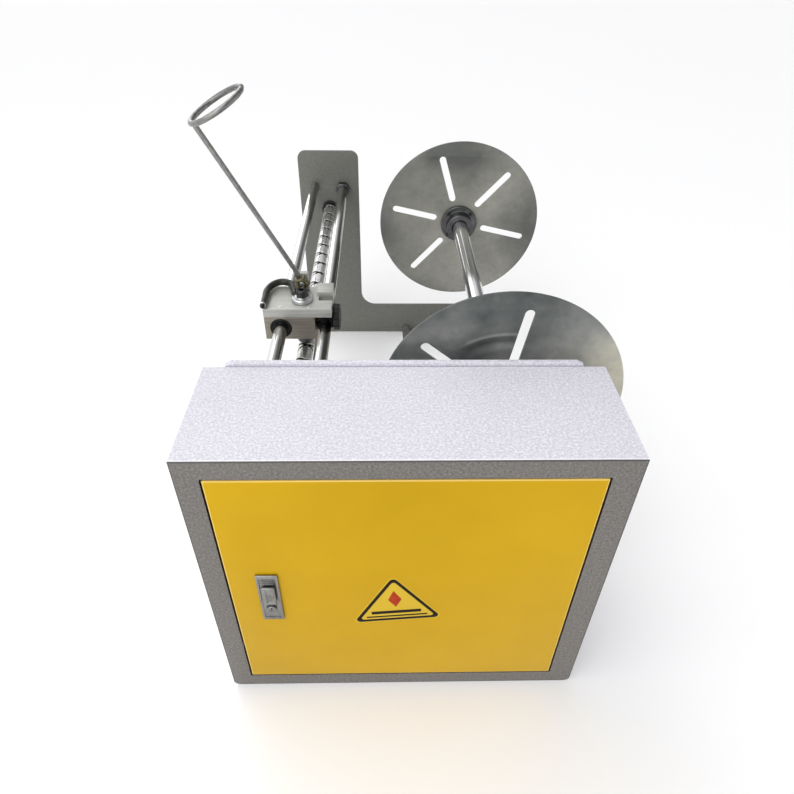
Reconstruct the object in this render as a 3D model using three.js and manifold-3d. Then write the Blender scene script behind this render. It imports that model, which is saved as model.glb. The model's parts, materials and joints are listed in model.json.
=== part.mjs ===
// Motorised take-up winder for yarn and cord: a control enclosure carries a driven spool and a
// reciprocating-screw traverse with a wire guide arm. Millimetres, +Z up, +Y away from the door.
// The origin is the centre of the enclosure's underside.

import * as THREE from "three";
import * as BufferGeometryUtils from "three/addons/utils/BufferGeometryUtils.js";
import Module from "manifold-3d";

const wasm = await Module();
wasm.setup();

// ---------------------------------------------------------------- driving dimensions

const GAP = 0.3; // clearance between touching pieces
const ROUND = 20; // facets on an ordinary round

const BOX = { width: 400, depth: 135, height: 370, sheet: 2, bottomCorner: 7 };
const BOX_FRONT = -BOX.depth / 2;
const BOX_BACK = BOX.depth / 2;
const OPENING = { left: -178, right: 174, bottom: 20, top: 349 };
const DOOR = { clearance: 1.6, sheet: 1.5, flange: 12 };
const HINGE = { inset: 12, setback: 5, pinRadius: 2.5, pinLength: 24 };

const REAR_PLATE = { width: 358, bottom: 4, top: 373, thickness: 6, chamferAcross: 6, chamferDown: 3 };
const REAR_PLATE_FACE = BOX_BACK + GAP + REAR_PLATE.thickness;
const END_PLATE = {
  front: 707.5, thickness: 5, left: -176, legRight: -67, right: 150,
  top: 381, footTop: 67, fillet: 28, corner: 14,
};
const END_PLATE_BACK = END_PLATE.front + END_PLATE.thickness;

const LEFT_ROD = { x: -148, z: 318, radius: 8 };
const RIGHT_ROD = { x: -96, z: 314, radius: 9 };
const TIE_ROD = { x: 26, z: 11, radius: 8 };
const rods = [LEFT_ROD, RIGHT_ROD, TIE_ROD];
const ROD_BOLT = { radius: 4, headRadius: 7.5, head: 5.3, shank: 24 };
const ROD_FRONT = REAR_PLATE_FACE + GAP;
const ROD_BACK = END_PLATE.front - GAP;

const SCREW = { x: -122, z: 275, radius: 11, journal: 7.5, start: -29 };
const SCREW_BEARING = { radius: 15, width: 9 };

const SPOOL = { x: 110, z: 292, shaftRadius: 12.5, front: -50, back: 620 };
const FLANGE = { radius: 137, thickness: 2.5, slots: 6, slotWidth: 10.5, slotInner: 40, slotOuter: 118 };
const NEAR_FLANGE = { face: 110, firstSlot: 20.8 };
const FAR_FLANGE = { face: 603, firstSlot: 47.3 };
const HUB = { radius: 31, neck: 22, length: 17, collar: 6 };
const BEARING_UNIT = { radius: 40, race: 26, flange: 6, length: 12 };

const BELT = { thickness: 2.5, width: 11, grooveDepth: 3.5 };
const DRIVE_PLANE = -39;
const TRAVERSE_PLANE = -20;
const PULLEY = { motor: 20, spoolDrive: 34, spoolTraverse: 22, screw: 33, flangeRim: 1.6 };
const MOTOR = { x: 62, z: 106, radius: 38, back: 58, front: -4, box: 41, boxDepth: 21 };
const BRACKET = { plate: 3.5, halfWidth: 52, top: 158, foot: 60 };
const GLAND = { x: -150, y: 30, thread: 8, passage: 4 };
const CONTROLLER = { x: -110, y: 40, halfWidth: 38 };

const CARRIAGE = { front: 219, depth: 57, left: -168, right: -85, plateBottom: 333, plateTop: 345 };
const BLOCK = { left: -168, right: -106, bottom: 302 };
const LINEAR_BEARING = { radius: 13, length: 37 };
const PAWL = { y: 240, housing: 10, radius: 4.5 };
const ARM = {
  x: -122.3, y: 260.5, z: 361.3, wire: 3, length: 213, lean: 28.3,
  ring: 32, ringTilt: 5, ringStart: 16, ringSweep: 344, eye: 6, stud: 3, clamp: 7.5,
};
const ARM_NUT = { lobes: 5, radius: 8.6, depth: 1.7, thickness: 7.5 };
const LEVER_HUB = { radius: 13, top: 350.5 };
const LEVER = { z: 350.1, wire: 4.3, bend: 15, x: -152, y: 264, tip: 214 };
const WASHER = { radius: 8.8, thickness: 1.2 };
const LOCK_KNOB = { y: 240, z: 322, radius: 16.5 };
const LOCK = {
  x: -137, z: 179.8, width: 22, height: 75, proud: 3, handleZ: 187.5, keyZ: 162.5,
  paddleWidth: 13.6, paddleLength: 28, tongue: 57,
};

// ---------------------------------------------------------------- materials

const finish = (color, roughness, metalness) =>
  new THREE.MeshStandardMaterial({ color, roughness, metalness });

const paint = finish(0xd8d6de, 0.55, 0.1);
const doorPaint = finish(0xd9a91f, 0.4, 0.1);
const plateSteel = finish(0x787876, 0.5, 0.8);
const galvanised = finish(0x7d807a, 0.4, 0.9);
const chrome = finish(0xc9cccf, 0.15, 1);
const darkSteel = finish(0x37383a, 0.45, 0.8);
const zinc = finish(0xaeb2b5, 0.35, 0.9);
const aluminium = finish(0xc2c4bd, 0.4, 0.8);
const blackPlastic = finish(0x1b1b1c, 0.6, 0);
const rubber = finish(0x202021, 0.8, 0);
const motorPaint = finish(0x4b5459, 0.5, 0.3);
const circuitCase = finish(0x2f4f7a, 0.5, 0);
const terminalGreen = finish(0x3f8f57, 0.5, 0);
const wireSteel = finish(0x6f6e68, 0.35, 0.9);

// ---------------------------------------------------------------- geometry helpers

function solid(geometry) {
  const bare = geometry.clone();
  bare.deleteAttribute("normal");
  bare.deleteAttribute("uv");
  const merged = BufferGeometryUtils.mergeVertices(bare, 1e-4);
  return new wasm.Manifold(new wasm.Mesh({
    numProp: 3,
    vertProperties: new Float32Array(merged.attributes.position.array),
    triVerts: new Uint32Array(merged.index.array),
  }));
}

function geometryOf(manifold) {
  const mesh = manifold.getMesh();
  const geometry = new THREE.BufferGeometry();
  geometry.setAttribute("position", new THREE.BufferAttribute(mesh.vertProperties, 3));
  geometry.setIndex(new THREE.BufferAttribute(mesh.triVerts, 1));
  return geometry;
}

function cut(base, ...tools) {
  let result = solid(base);
  for (const tool of tools) {
    result = result.subtract(solid(tool));
  }
  return geometryOf(result);
}

function join(base, ...others) {
  let result = solid(base);
  for (const other of others) {
    result = result.add(solid(other));
  }
  return geometryOf(result);
}

// a box between two corners, given as ranges
function block([x0, x1], [y0, y1], [z0, z1]) {
  const geometry = new THREE.BoxGeometry(x1 - x0, y1 - y0, z1 - z0);
  return geometry.translate((x0 + x1) / 2, (y0 + y1) / 2, (z0 + z1) / 2);
}

// a round bar along Y, X or Z from start to end, centred at the other two coordinates
function barY(radius, start, end, x = 0, z = 0, facets = ROUND) {
  const geometry = new THREE.CylinderGeometry(radius, radius, end - start, facets);
  return geometry.translate(x, (start + end) / 2, z);
}

function barZ(radius, start, end, x = 0, y = 0, facets = ROUND) {
  const geometry = new THREE.CylinderGeometry(radius, radius, end - start, facets);
  return geometry.rotateX(Math.PI / 2).translate(x, y, (start + end) / 2);
}

function barX(radius, start, end, y = 0, z = 0, facets = ROUND) {
  const geometry = new THREE.CylinderGeometry(radius, radius, end - start, facets);
  return geometry.rotateZ(Math.PI / 2).translate((start + end) / 2, y, z);
}

// a solid of revolution about Y from [radius, y] points that start and end on the axis
function turned(points, facets = ROUND) {
  return new THREE.LatheGeometry(points.map(([r, y]) => new THREE.Vector2(r, y)), facets);
}

// a ring about Y, between two radii and two stations
function ring(inner, outer, start, end, facets = ROUND) {
  return turned([[inner, start], [outer, start], [outer, end], [inner, end], [inner, start]], facets);
}

// an outline in X and Z given thickness along Y from front to back
function plateXZ(shape, front, thickness, curveSegments = 6) {
  const geometry = new THREE.ExtrudeGeometry(shape, { depth: thickness, bevelEnabled: false, curveSegments });
  return geometry.rotateX(Math.PI / 2).translate(0, front + thickness, 0);
}

// a rectangle in X and Z with round bottom corners
function roundBottomed([x0, x1], [z0, z1], radius) {
  const shape = new THREE.Shape();
  shape.moveTo(x1, z1);
  shape.lineTo(x0, z1);
  shape.absarc(x0 + radius, z0 + radius, radius, Math.PI, 1.5 * Math.PI);
  shape.absarc(x1 - radius, z0 + radius, radius, -Math.PI / 2, 0);
  return shape;
}

// a round bar swept along a curve; an arc outline gets two sides for each curve segment
function tube(curve, radius, steps, sides = 8) {
  const section = new THREE.Shape();
  section.absarc(0, 0, radius, 0, 2 * Math.PI);
  return new THREE.ExtrudeGeometry(section, {
    steps, extrudePath: curve, bevelEnabled: false, curveSegments: sides / 2,
  });
}

function place(group, name, geometry, material, x = 0, y = 0, z = 0) {
  const mesh = new THREE.Mesh(geometry, material);
  mesh.name = name;
  mesh.position.set(x, y, z);
  group.add(mesh);
  return mesh;
}

// a headed bolt along Y whose head bears at station 0 and whose shank points to -Y
function bolt({ radius, headRadius, head, shank }) {
  const hexagon = turned([[0, 0], [headRadius, 0], [headRadius, head], [0, head]], 6);
  return join(hexagon, barY(radius, -shank, 1, 0, 0, 12));
}

const winder = new THREE.Group();

// ---------------------------------------------------------------- enclosure

const enclosure = new THREE.Group();
winder.add(enclosure);

function enclosureShell() {
  const t = BOX.sheet;
  const half = BOX.width / 2;
  const outline = roundBottomed([-half, half], [0, BOX.height], BOX.bottomCorner);
  const outside = plateXZ(outline, BOX_FRONT, BOX.depth, 2);
  const inside = block([-half + t, half - t], [BOX_FRONT + t, BOX_BACK - t], [t, BOX.height - t]);
  const doorway = block(
    [OPENING.left, OPENING.right], [BOX_FRONT - 1, BOX_FRONT + t + 1], [OPENING.bottom, OPENING.top]);
  const wall = [BOX_BACK - t - 1, BOX_BACK + 1];
  const shaftHole = barY(SPOOL.shaftRadius + 4, ...wall, SPOOL.x, SPOOL.z);
  const screwHole = barY(SCREW.journal + 4, ...wall, SCREW.x, SCREW.z);
  const boltHoles = rods.map((rod) => barY(ROD_BOLT.radius + GAP, ...wall, rod.x, rod.z, 12));
  const glandHole = barZ(GLAND.thread + GAP, -1, t + 1, GLAND.x, GLAND.y, 20);
  return cut(outside, inside, doorway, shaftHole, screwHole, ...boltHoles, glandHole);
}

place(enclosure, "enclosure_shell", enclosureShell(), paint);

// pins fixed to the doorway's top and bottom edges, which the door turns on
const hingeX = OPENING.right - DOOR.clearance - HINGE.inset;
const hingeY = BOX_FRONT + HINGE.setback;

function hingePin(direction) {
  const edge = direction > 0 ? OPENING.bottom : OPENING.top;
  const z = [edge + direction * 0.2, edge + direction * HINGE.pinLength].sort((a, b) => a - b);
  const pin = barZ(HINGE.pinRadius, ...z, hingeX, hingeY, 16);
  const tabZ = [edge - direction * 10, edge + direction * 0.6].sort((a, b) => a - b);
  const tab = block([hingeX - 8, hingeX + 8], [BOX_FRONT + BOX.sheet + GAP, BOX_FRONT + 14], tabZ);
  return join(tab, pin);
}

place(enclosure, "hinge_pin_lower", hingePin(1), zinc);
place(enclosure, "hinge_pin_upper", hingePin(-1), zinc);

// ---------------------------------------------------------------- door and lock

const doorGroup = new THREE.Group();
doorGroup.position.set(hingeX, hingeY, 0);
winder.add(doorGroup);

const doorLeft = OPENING.left + DOOR.clearance;
const doorRight = OPENING.right - DOOR.clearance;
const doorBottom = OPENING.bottom + DOOR.clearance;
const doorTop = OPENING.top - DOOR.clearance;
const doorBack = BOX_FRONT + DOOR.flange;

function doorPanel() {
  const t = DOOR.sheet;
  const tray = block([doorLeft, doorRight], [BOX_FRONT, doorBack], [doorBottom, doorTop]);
  const hollow = block(
    [doorLeft + t, doorRight - t], [BOX_FRONT + t, doorBack + 1], [doorBottom + t, doorTop - t]);
  const holes = [doorBottom, doorTop].map((z) =>
    barZ(HINGE.pinRadius + 0.4, z - 4, z + 4, hingeX, hingeY, 16));
  const spindleHole = barY(6, BOX_FRONT - 1, BOX_FRONT + 4, LOCK.x, LOCK.handleZ, 20);
  const keyHole = barY(6, BOX_FRONT - 1, BOX_FRONT + 4, LOCK.x, LOCK.keyZ, 20);
  return cut(tray, hollow, ...holes, spindleHole, keyHole).translate(-hingeX, -hingeY, 0);
}

place(doorGroup, "enclosure_door", doorPanel(), doorPaint);

const lockGroup = new THREE.Group();
lockGroup.position.set(LOCK.x - hingeX, -HINGE.setback, 0);
doorGroup.add(lockGroup);

function lockBody() {
  const half = LOCK.width / 2;
  const low = LOCK.z - LOCK.height / 2;
  const high = LOCK.z + LOCK.height / 2;
  const face = block([-half, half], [-LOCK.proud, -GAP], [low, high]);
  const spindleHole = barY(5.4, -LOCK.proud - 1, 1, 0, LOCK.handleZ, 20);
  const keyHole = barY(5.4, -LOCK.proud - 1, 1, 0, LOCK.keyZ, 20);
  return cut(face, spindleHole, keyHole);
}

place(lockGroup, "lock_plate", lockBody(), zinc);

function lockHandle() {
  const front = -LOCK.proud - GAP;
  const half = LOCK.paddleWidth / 2;
  const reach = LOCK.paddleLength / 2;
  const paddle = block([-half, half], [front - 3.2, front], [LOCK.handleZ - reach, LOCK.handleZ + reach]);
  return join(paddle, barY(5, front - 1, 16, 0, LOCK.handleZ, 20));
}

// the tongue hangs down when unlatched and turns behind the doorway's left edge to lock
function lockCam() {
  return block([-8, 8], [16 + GAP, 19], [LOCK.handleZ + 8 - LOCK.tongue, LOCK.handleZ + 8]);
}

place(lockGroup, "lock_handle", lockHandle(), zinc);
place(lockGroup, "lock_cam", lockCam(), zinc);
place(lockGroup, "key_cylinder", join(
  barY(5, -LOCK.proud - 1.6, 10, 0, LOCK.keyZ, 20),
  block([-0.8, 0.8], [9, 13], [LOCK.keyZ - 4, LOCK.keyZ + 4])), zinc);

// ---------------------------------------------------------------- frame plates and rods

function rearPlate() {
  const half = REAR_PLATE.width / 2;
  const { bottom, top, chamferAcross, chamferDown, thickness } = REAR_PLATE;
  const outline = new THREE.Shape([
    new THREE.Vector2(-half, bottom), new THREE.Vector2(half, bottom),
    new THREE.Vector2(half, top - chamferDown), new THREE.Vector2(half - chamferAcross, top),
    new THREE.Vector2(chamferAcross - half, top), new THREE.Vector2(-half, top - chamferDown),
  ]);
  const front = BOX_BACK + GAP;
  const span = [front - 1, front + thickness + 1];
  const holes = rods.map((rod) => barY(ROD_BOLT.radius + GAP, ...span, rod.x, rod.z, 12));
  holes.push(barY(SPOOL.shaftRadius + 3, ...span, SPOOL.x, SPOOL.z));
  holes.push(barY(SCREW_BEARING.radius + GAP, ...span, SCREW.x, SCREW.z));
  return cut(plateXZ(outline, front, thickness), ...holes);
}

place(enclosure, "rear_plate", rearPlate(), paint);

// L-shaped plate: an upright leg for the rods and screw, and a foot along the ground
function endPlate() {
  const { left, legRight, right, top, footTop, fillet, corner, front, thickness } = END_PLATE;
  const outline = new THREE.Shape();
  outline.moveTo(left, 0);
  outline.lineTo(right, 0);
  outline.lineTo(right, footTop - corner);
  outline.absarc(right - corner, footTop - corner, corner, 0, Math.PI / 2);
  outline.lineTo(legRight + fillet, footTop);
  outline.absarc(legRight + fillet, footTop + fillet, fillet, -Math.PI / 2, -Math.PI, true);
  outline.lineTo(legRight, top - corner);
  outline.absarc(legRight - corner, top - corner, corner, 0, Math.PI / 2);
  outline.lineTo(left + corner, top);
  outline.absarc(left + corner, top - corner, corner, Math.PI / 2, Math.PI);
  const span = [front - 1, front + thickness + 1];
  const holes = rods.map((rod) => barY(ROD_BOLT.radius + GAP, ...span, rod.x, rod.z, 12));
  holes.push(barY(SCREW_BEARING.radius + GAP, ...span, SCREW.x, SCREW.z));
  return cut(plateXZ(outline, front, thickness, 3), ...holes);
}

place(enclosure, "end_plate", endPlate(), plateSteel);

function drilledRod(radius) {
  const hole = ROD_BOLT.radius + GAP;
  const depth = ROD_BOLT.shank;
  return turned([
    [0, ROD_FRONT + depth], [hole, ROD_FRONT + depth], [hole, ROD_FRONT], [radius, ROD_FRONT],
    [radius, ROD_BACK], [hole, ROD_BACK], [hole, ROD_BACK - depth], [0, ROD_BACK - depth],
  ]);
}

["left_guide_rod", "right_guide_rod", "lower_tie_rod"].forEach((name, index) => {
  const rod = rods[index];
  place(enclosure, name, drilledRod(rod.radius), chrome, rod.x, 0, rod.z);
  const rearBolt = bolt(ROD_BOLT);
  place(enclosure, `${name}_end_bolt`, rearBolt, zinc, rod.x, END_PLATE_BACK + GAP, rod.z);
  const frontBolt = bolt(ROD_BOLT).rotateZ(Math.PI);
  place(enclosure, `${name}_box_bolt`, frontBolt, zinc, rod.x, BOX_BACK - BOX.sheet - GAP, rod.z);
});

const rodNutBore = barY(RIGHT_ROD.radius + GAP, ROD_BACK - 13, ROD_BACK + 1);
const rodNutBlank = turned([[0, ROD_BACK - 12], [13, ROD_BACK - 12], [13, ROD_BACK], [0, ROD_BACK]], 6);
place(enclosure, "right_rod_nut", cut(rodNutBlank, rodNutBore), darkSteel, RIGHT_ROD.x, 0, RIGHT_ROD.z);

// ---------------------------------------------------------------- spool

const spool = new THREE.Group();
spool.position.set(SPOOL.x, 0, SPOOL.z);
winder.add(spool);

function spoolShaft() {
  const r = SPOOL.shaftRadius;
  return turned([[0, SPOOL.front], [r, SPOOL.front], [r, SPOOL.back - 1], [r - 1, SPOOL.back], [0, SPOOL.back]]);
}

// a thin disc with round-ended radial slots for tying the finished coil
function flangeDisc(face, firstSlot) {
  const outline = new THREE.Shape();
  const rimArcs = 8;
  for (let i = 0; i < rimArcs; i += 1) {
    outline.absarc(0, 0, FLANGE.radius, (i * 2 * Math.PI) / rimArcs, ((i + 1) * 2 * Math.PI) / rimArcs);
  }
  const bore = new THREE.Path();
  for (let i = 0; i < 3; i += 1) {
    bore.absarc(0, 0, SPOOL.shaftRadius + GAP, (i * 2 * Math.PI) / 3, ((i + 1) * 2 * Math.PI) / 3);
  }
  outline.holes.push(bore);
  const half = FLANGE.slotWidth / 2;
  for (let i = 0; i < FLANGE.slots; i += 1) {
    const angle = THREE.MathUtils.degToRad(firstSlot + (i * 360) / FLANGE.slots);
    const at = (r) => new THREE.Vector2(r * Math.cos(angle), r * Math.sin(angle));
    const inner = at(FLANGE.slotInner + half);
    const outer = at(FLANGE.slotOuter - half);
    const slot = new THREE.Path();
    slot.absarc(outer.x, outer.y, half, angle - Math.PI / 2, angle + Math.PI / 2);
    slot.absarc(inner.x, inner.y, half, angle + Math.PI / 2, angle + 1.5 * Math.PI);
    outline.holes.push(slot);
  }
  return plateXZ(outline, face, FLANGE.thickness, 3);
}

// the hub has a clamping neck and a wide foot that the disc bears on
function hubSleeve(face) {
  const bore = SPOOL.shaftRadius + GAP;
  const foot = face - GAP;
  return turned([
    [bore, foot - HUB.length - HUB.collar], [HUB.neck, foot - HUB.length - HUB.collar],
    [HUB.neck, foot - HUB.collar], [HUB.radius, foot - HUB.collar],
    [HUB.radius, foot], [bore, foot], [bore, foot - HUB.length - HUB.collar],
  ]);
}

function hubWithScrewHole(face) {
  const station = face - GAP - HUB.collar - HUB.length / 2;
  const hole = barZ(3 + GAP, SPOOL.shaftRadius - 1, HUB.neck + 2, 0, station, 12);
  return cut(hubSleeve(face), hole);
}

function setScrew(face) {
  const station = face - GAP - HUB.collar - HUB.length / 2;
  return barZ(3, SPOOL.shaftRadius + GAP, HUB.neck + 1.5, 0, station, 12);
}

place(spool, "spool_shaft", spoolShaft(), chrome);
place(spool, "near_flange", flangeDisc(NEAR_FLANGE.face, NEAR_FLANGE.firstSlot), galvanised);
place(spool, "near_hub", hubWithScrewHole(NEAR_FLANGE.face), darkSteel);
place(spool, "far_flange", flangeDisc(FAR_FLANGE.face, FAR_FLANGE.firstSlot), galvanised);
place(spool, "far_hub", hubWithScrewHole(FAR_FLANGE.face), darkSteel);
place(spool, "far_set_screw", setScrew(FAR_FLANGE.face), darkSteel);

// ---------------------------------------------------------------- spool bearings

// a flanged unit that carries the shaft; direction is +1 when its boss points to +Y
function bearingHousing(seat, direction) {
  const { radius, race, flange, length } = BEARING_UNIT;
  const stations = [seat, seat + direction * flange, seat + direction * length];
  const profile = [
    [race + GAP, stations[0]], [radius, stations[0]], [radius, stations[1]],
    [race + 6, stations[1]], [race + 6, stations[2]], [race + GAP, stations[2]],
    [race + GAP, stations[0]],
  ];
  return turned(direction > 0 ? profile : profile.reverse());
}

function raceRing(seat, direction) {
  const ends = [seat, seat + direction * BEARING_UNIT.length].sort((a, b) => a - b);
  return ring(SPOOL.shaftRadius + GAP, BEARING_UNIT.race, ...ends);
}

const outerSeat = REAR_PLATE_FACE + GAP;
const innerSeat = BOX_BACK - BOX.sheet - GAP;
place(enclosure, "outer_bearing_housing", bearingHousing(outerSeat, 1), darkSteel, SPOOL.x, 0, SPOOL.z);
place(enclosure, "outer_bearing", raceRing(outerSeat, 1), zinc, SPOOL.x, 0, SPOOL.z);
place(enclosure, "inner_bearing_housing", bearingHousing(innerSeat, -1), darkSteel, SPOOL.x, 0, SPOOL.z);
place(enclosure, "inner_bearing", raceRing(innerSeat, -1), zinc, SPOOL.x, 0, SPOOL.z);

// ---------------------------------------------------------------- reciprocating screw

const screwGroup = new THREE.Group();
screwGroup.position.set(SCREW.x, 0, SCREW.z);
winder.add(screwGroup);

function leadScrew() {
  const { radius, journal, start } = SCREW;
  const grooveStart = REAR_PLATE_FACE + 6;
  const grooveEnd = END_PLATE.front - 6;
  return turned([
    [0, start], [journal, start], [journal, grooveStart], [radius, grooveStart + 1],
    [radius, grooveEnd - 1], [journal, grooveEnd], [journal, END_PLATE_BACK + 3], [0, END_PLATE_BACK + 3],
  ]);
}

place(screwGroup, "reciprocating_screw", leadScrew(), chrome);

function screwBearing(start) {
  return ring(SCREW.journal + GAP, SCREW_BEARING.radius, start, start + SCREW_BEARING.width, 24);
}

const boxBearing = screwBearing(REAR_PLATE_FACE - REAR_PLATE.thickness - GAP + 1);
place(enclosure, "screw_box_bearing", boxBearing, darkSteel, SCREW.x, 0, SCREW.z);
const endBearing = screwBearing(END_PLATE.front - 3);
place(enclosure, "screw_end_bearing", endBearing, darkSteel, SCREW.x, 0, SCREW.z);

// ---------------------------------------------------------------- pulleys and belts

// belt wheels side by side on one sleeve; each is [belt plane, radius]
function pulley(bore, wheels) {
  const half = BELT.width / 2 + GAP;
  const rim = PULLEY.flangeRim;
  const points = [];
  for (const [plane, radius] of wheels) {
    const tall = radius + BELT.grooveDepth;
    points.push([tall, plane - half - rim], [tall, plane - half], [radius, plane - half]);
    points.push([radius, plane + half], [tall, plane + half], [tall, plane + half + rim]);
  }
  const start = points[0][1];
  const end = points[points.length - 1][1];
  return turned([[bore, start], ...points, [bore, end], [bore, start]]);
}

// the flat loop of a belt round two wheels, as an outline offset outwards by grow
function beltOutline(a, b, grow, kind) {
  const dx = b.x - a.x;
  const dz = b.z - a.z;
  const span = Math.hypot(dx, dz);
  const heading = Math.atan2(dz, dx);
  const wrap = Math.acos((a.r - b.r) / span);
  const loop = new kind();
  loop.absarc(b.x, b.z, b.r + grow, heading - wrap, heading + wrap);
  loop.absarc(a.x, a.z, a.r + grow, heading + wrap, heading - wrap + 2 * Math.PI);
  return loop;
}

function belt(a, b, plane) {
  const outline = beltOutline(a, b, GAP + BELT.thickness, THREE.Shape);
  outline.holes.push(beltOutline(a, b, GAP, THREE.Path));
  return plateXZ(outline, plane - BELT.width / 2, BELT.width, 8);
}

const onSpool = (r) => ({ x: SPOOL.x, z: SPOOL.z, r });
const onMotor = { x: MOTOR.x, z: MOTOR.z, r: PULLEY.motor };
const onScrew = { x: SCREW.x, z: SCREW.z, r: PULLEY.screw };

place(spool, "spool_pulley", pulley(SPOOL.shaftRadius + GAP, [
  [DRIVE_PLANE, PULLEY.spoolDrive], [TRAVERSE_PLANE, PULLEY.spoolTraverse],
]), aluminium);
place(screwGroup, "screw_pulley", pulley(SCREW.journal + GAP, [[TRAVERSE_PLANE, PULLEY.screw]]), aluminium);
place(enclosure, "drive_belt", belt(onMotor, onSpool(PULLEY.spoolDrive), DRIVE_PLANE), rubber);
place(enclosure, "traverse_belt", belt(onScrew, onSpool(PULLEY.spoolTraverse), TRAVERSE_PLANE), rubber);

// ---------------------------------------------------------------- motor

const gearFace = MOTOR.front - GAP - MOTOR.boxDepth;

function motorBody() {
  const { radius, front, back, x, z } = MOTOR;
  return turned([
    [0, front], [radius, front], [radius, back - 4], [radius - 4, back], [0, back],
  ]).translate(x, 0, z);
}

function gearbox() {
  const { x, z, box, front } = MOTOR;
  const body = block([x - box, x + box], [gearFace, front - GAP], [z - box, z + box]);
  return cut(body, barY(7.6, gearFace - 1, gearFace + 10, x, z, 20));
}

function motorBracket() {
  const { x, z } = MOTOR;
  const { plate, halfWidth, top, foot } = BRACKET;
  const back = gearFace - GAP;
  const low = BOX.sheet + GAP;
  const wide = [x - halfWidth, x + halfWidth];
  const upright = block(wide, [back - plate, back], [low, top]);
  const base = block(wide, [back - plate, back + foot], [low, low + plate]);
  return cut(join(upright, base), barY(10, back - plate - 1, back + 1, x, z, 20));
}

place(enclosure, "motor", motorBody(), motorPaint);
place(enclosure, "gearbox", gearbox(), motorPaint);
place(enclosure, "motor_bracket", motorBracket(), zinc);

const motorShaft = new THREE.Group();
motorShaft.position.set(MOTOR.x, 0, MOTOR.z);
winder.add(motorShaft);
const pulleyBack = DRIVE_PLANE + BELT.width / 2 + GAP + PULLEY.flangeRim;
place(motorShaft, "motor_pulley", join(
  pulley(6, [[DRIVE_PLANE, PULLEY.motor]]),
  barY(7, pulleyBack - 14, gearFace + 8, 0, 0, 20)), aluminium);

// ---------------------------------------------------------------- controls and cable entry

const controller = new THREE.Group();
controller.position.set(CONTROLLER.x, CONTROLLER.y, 0);
winder.add(controller);
const unitWidth = [-CONTROLLER.halfWidth, CONTROLLER.halfWidth];
place(controller, "speed_controller", block(unitWidth, [-18, 18], [70, 180]), circuitCase);
place(controller, "terminal_strip", block(unitWidth, [-6, 18], [40, 60]), terminalGreen);

function cableGland() {
  const thread = barZ(GLAND.thread, 0.4, 14, 0, 0, 20);
  const collar = barZ(12, BOX.sheet + GAP, 9, 0, 0, 6);
  const passage = barZ(GLAND.passage, -1, 20, 0, 0, 16);
  return cut(join(thread, collar), passage);
}

place(enclosure, "cable_gland", cableGland(), blackPlastic, GLAND.x, GLAND.y, 0);

// ---------------------------------------------------------------- traverse carriage

const carriage = new THREE.Group();
winder.add(carriage);
const carriageBack = CARRIAGE.front + CARRIAGE.depth;

// top plate: a cross groove and a raised pad lie at its right-hand rear
function carriagePlate() {
  const { front, left, right, plateBottom, plateTop } = CARRIAGE;
  const slab = block([left, right], [front, carriageBack], [plateBottom, plateTop]);
  const pad = block([right - 20, right], [carriageBack - 24, carriageBack], [plateTop - 1, plateTop + 5]);
  const groove = block([right - 17, right + 1], [carriageBack - 36, carriageBack - 24], [plateTop - 7, plateTop + 1]);
  const hole = barZ(PAWL.radius + GAP, plateBottom - 1, plateTop + 1, SCREW.x, PAWL.y, 20);
  return cut(join(slab, pad), groove, hole);
}

function carriageBlock() {
  const { left, right, bottom } = BLOCK;
  const top = CARRIAGE.plateBottom - GAP;
  const body = block([left, right], [CARRIAGE.front, carriageBack], [bottom, top]);
  const bearingBore = barY(
    LINEAR_BEARING.radius + GAP, CARRIAGE.front - 1, carriageBack + 1, LEFT_ROD.x, LEFT_ROD.z);
  const pawlBore = barZ(PAWL.housing + GAP, bottom - 1, top + 1, SCREW.x, PAWL.y);
  return cut(body, bearingBore, pawlBore);
}

function linearBearing() {
  const start = CARRIAGE.front + 1.5;
  const bore = LEFT_ROD.radius + GAP;
  return ring(bore, LINEAR_BEARING.radius, start, start + LINEAR_BEARING.length);
}

// plastic shoe that straddles the right rod and stops the carriage from turning
function guideShoe() {
  const top = CARRIAGE.plateBottom - GAP;
  const body = block([-105.7, CARRIAGE.right], [232, carriageBack], [RIGHT_ROD.z - 4, top]);
  const channel = barY(RIGHT_ROD.radius + GAP, 231, carriageBack + 1, RIGHT_ROD.x, RIGHT_ROD.z);
  const studHole = barX(2.5 + GAP, -92, CARRIAGE.right + 1, LOCK_KNOB.y, LOCK_KNOB.z, 12);
  return cut(body, channel, studHole);
}

function pawlHousing() {
  const top = CARRIAGE.plateBottom - GAP;
  const bottom = SCREW.z + SCREW.radius + 1.2;
  const body = barZ(PAWL.housing, bottom, top, SCREW.x, PAWL.y);
  const pawlBore = barZ(PAWL.radius + GAP, bottom - 1, bottom + 24, SCREW.x, PAWL.y, 20);
  const thread = barZ(PAWL.radius + GAP, bottom + 30, top + 1, SCREW.x, PAWL.y, 20);
  return cut(body, pawlBore, thread);
}

place(carriage, "carriage_plate", carriagePlate(), aluminium);
place(carriage, "carriage_block", carriageBlock(), aluminium);
place(carriage, "linear_bearing", linearBearing(), blackPlastic, LEFT_ROD.x, 0, LEFT_ROD.z);
place(carriage, "guide_shoe", guideShoe(), blackPlastic);
place(carriage, "pawl_housing", pawlHousing(), darkSteel);

// pawl: a swivelling pin whose tip rides in the screw's crossed grooves
const pawlTip = SCREW.z + SCREW.radius + 0.4;
place(carriage, "traverse_pawl", barZ(PAWL.radius, pawlTip, pawlTip + 23, 0, 0, 20), zinc, SCREW.x, PAWL.y);

// stack on the plate: release lever hub, washer, socket-head screw
const washerTop = LEVER_HUB.top + GAP + WASHER.thickness;

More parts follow.
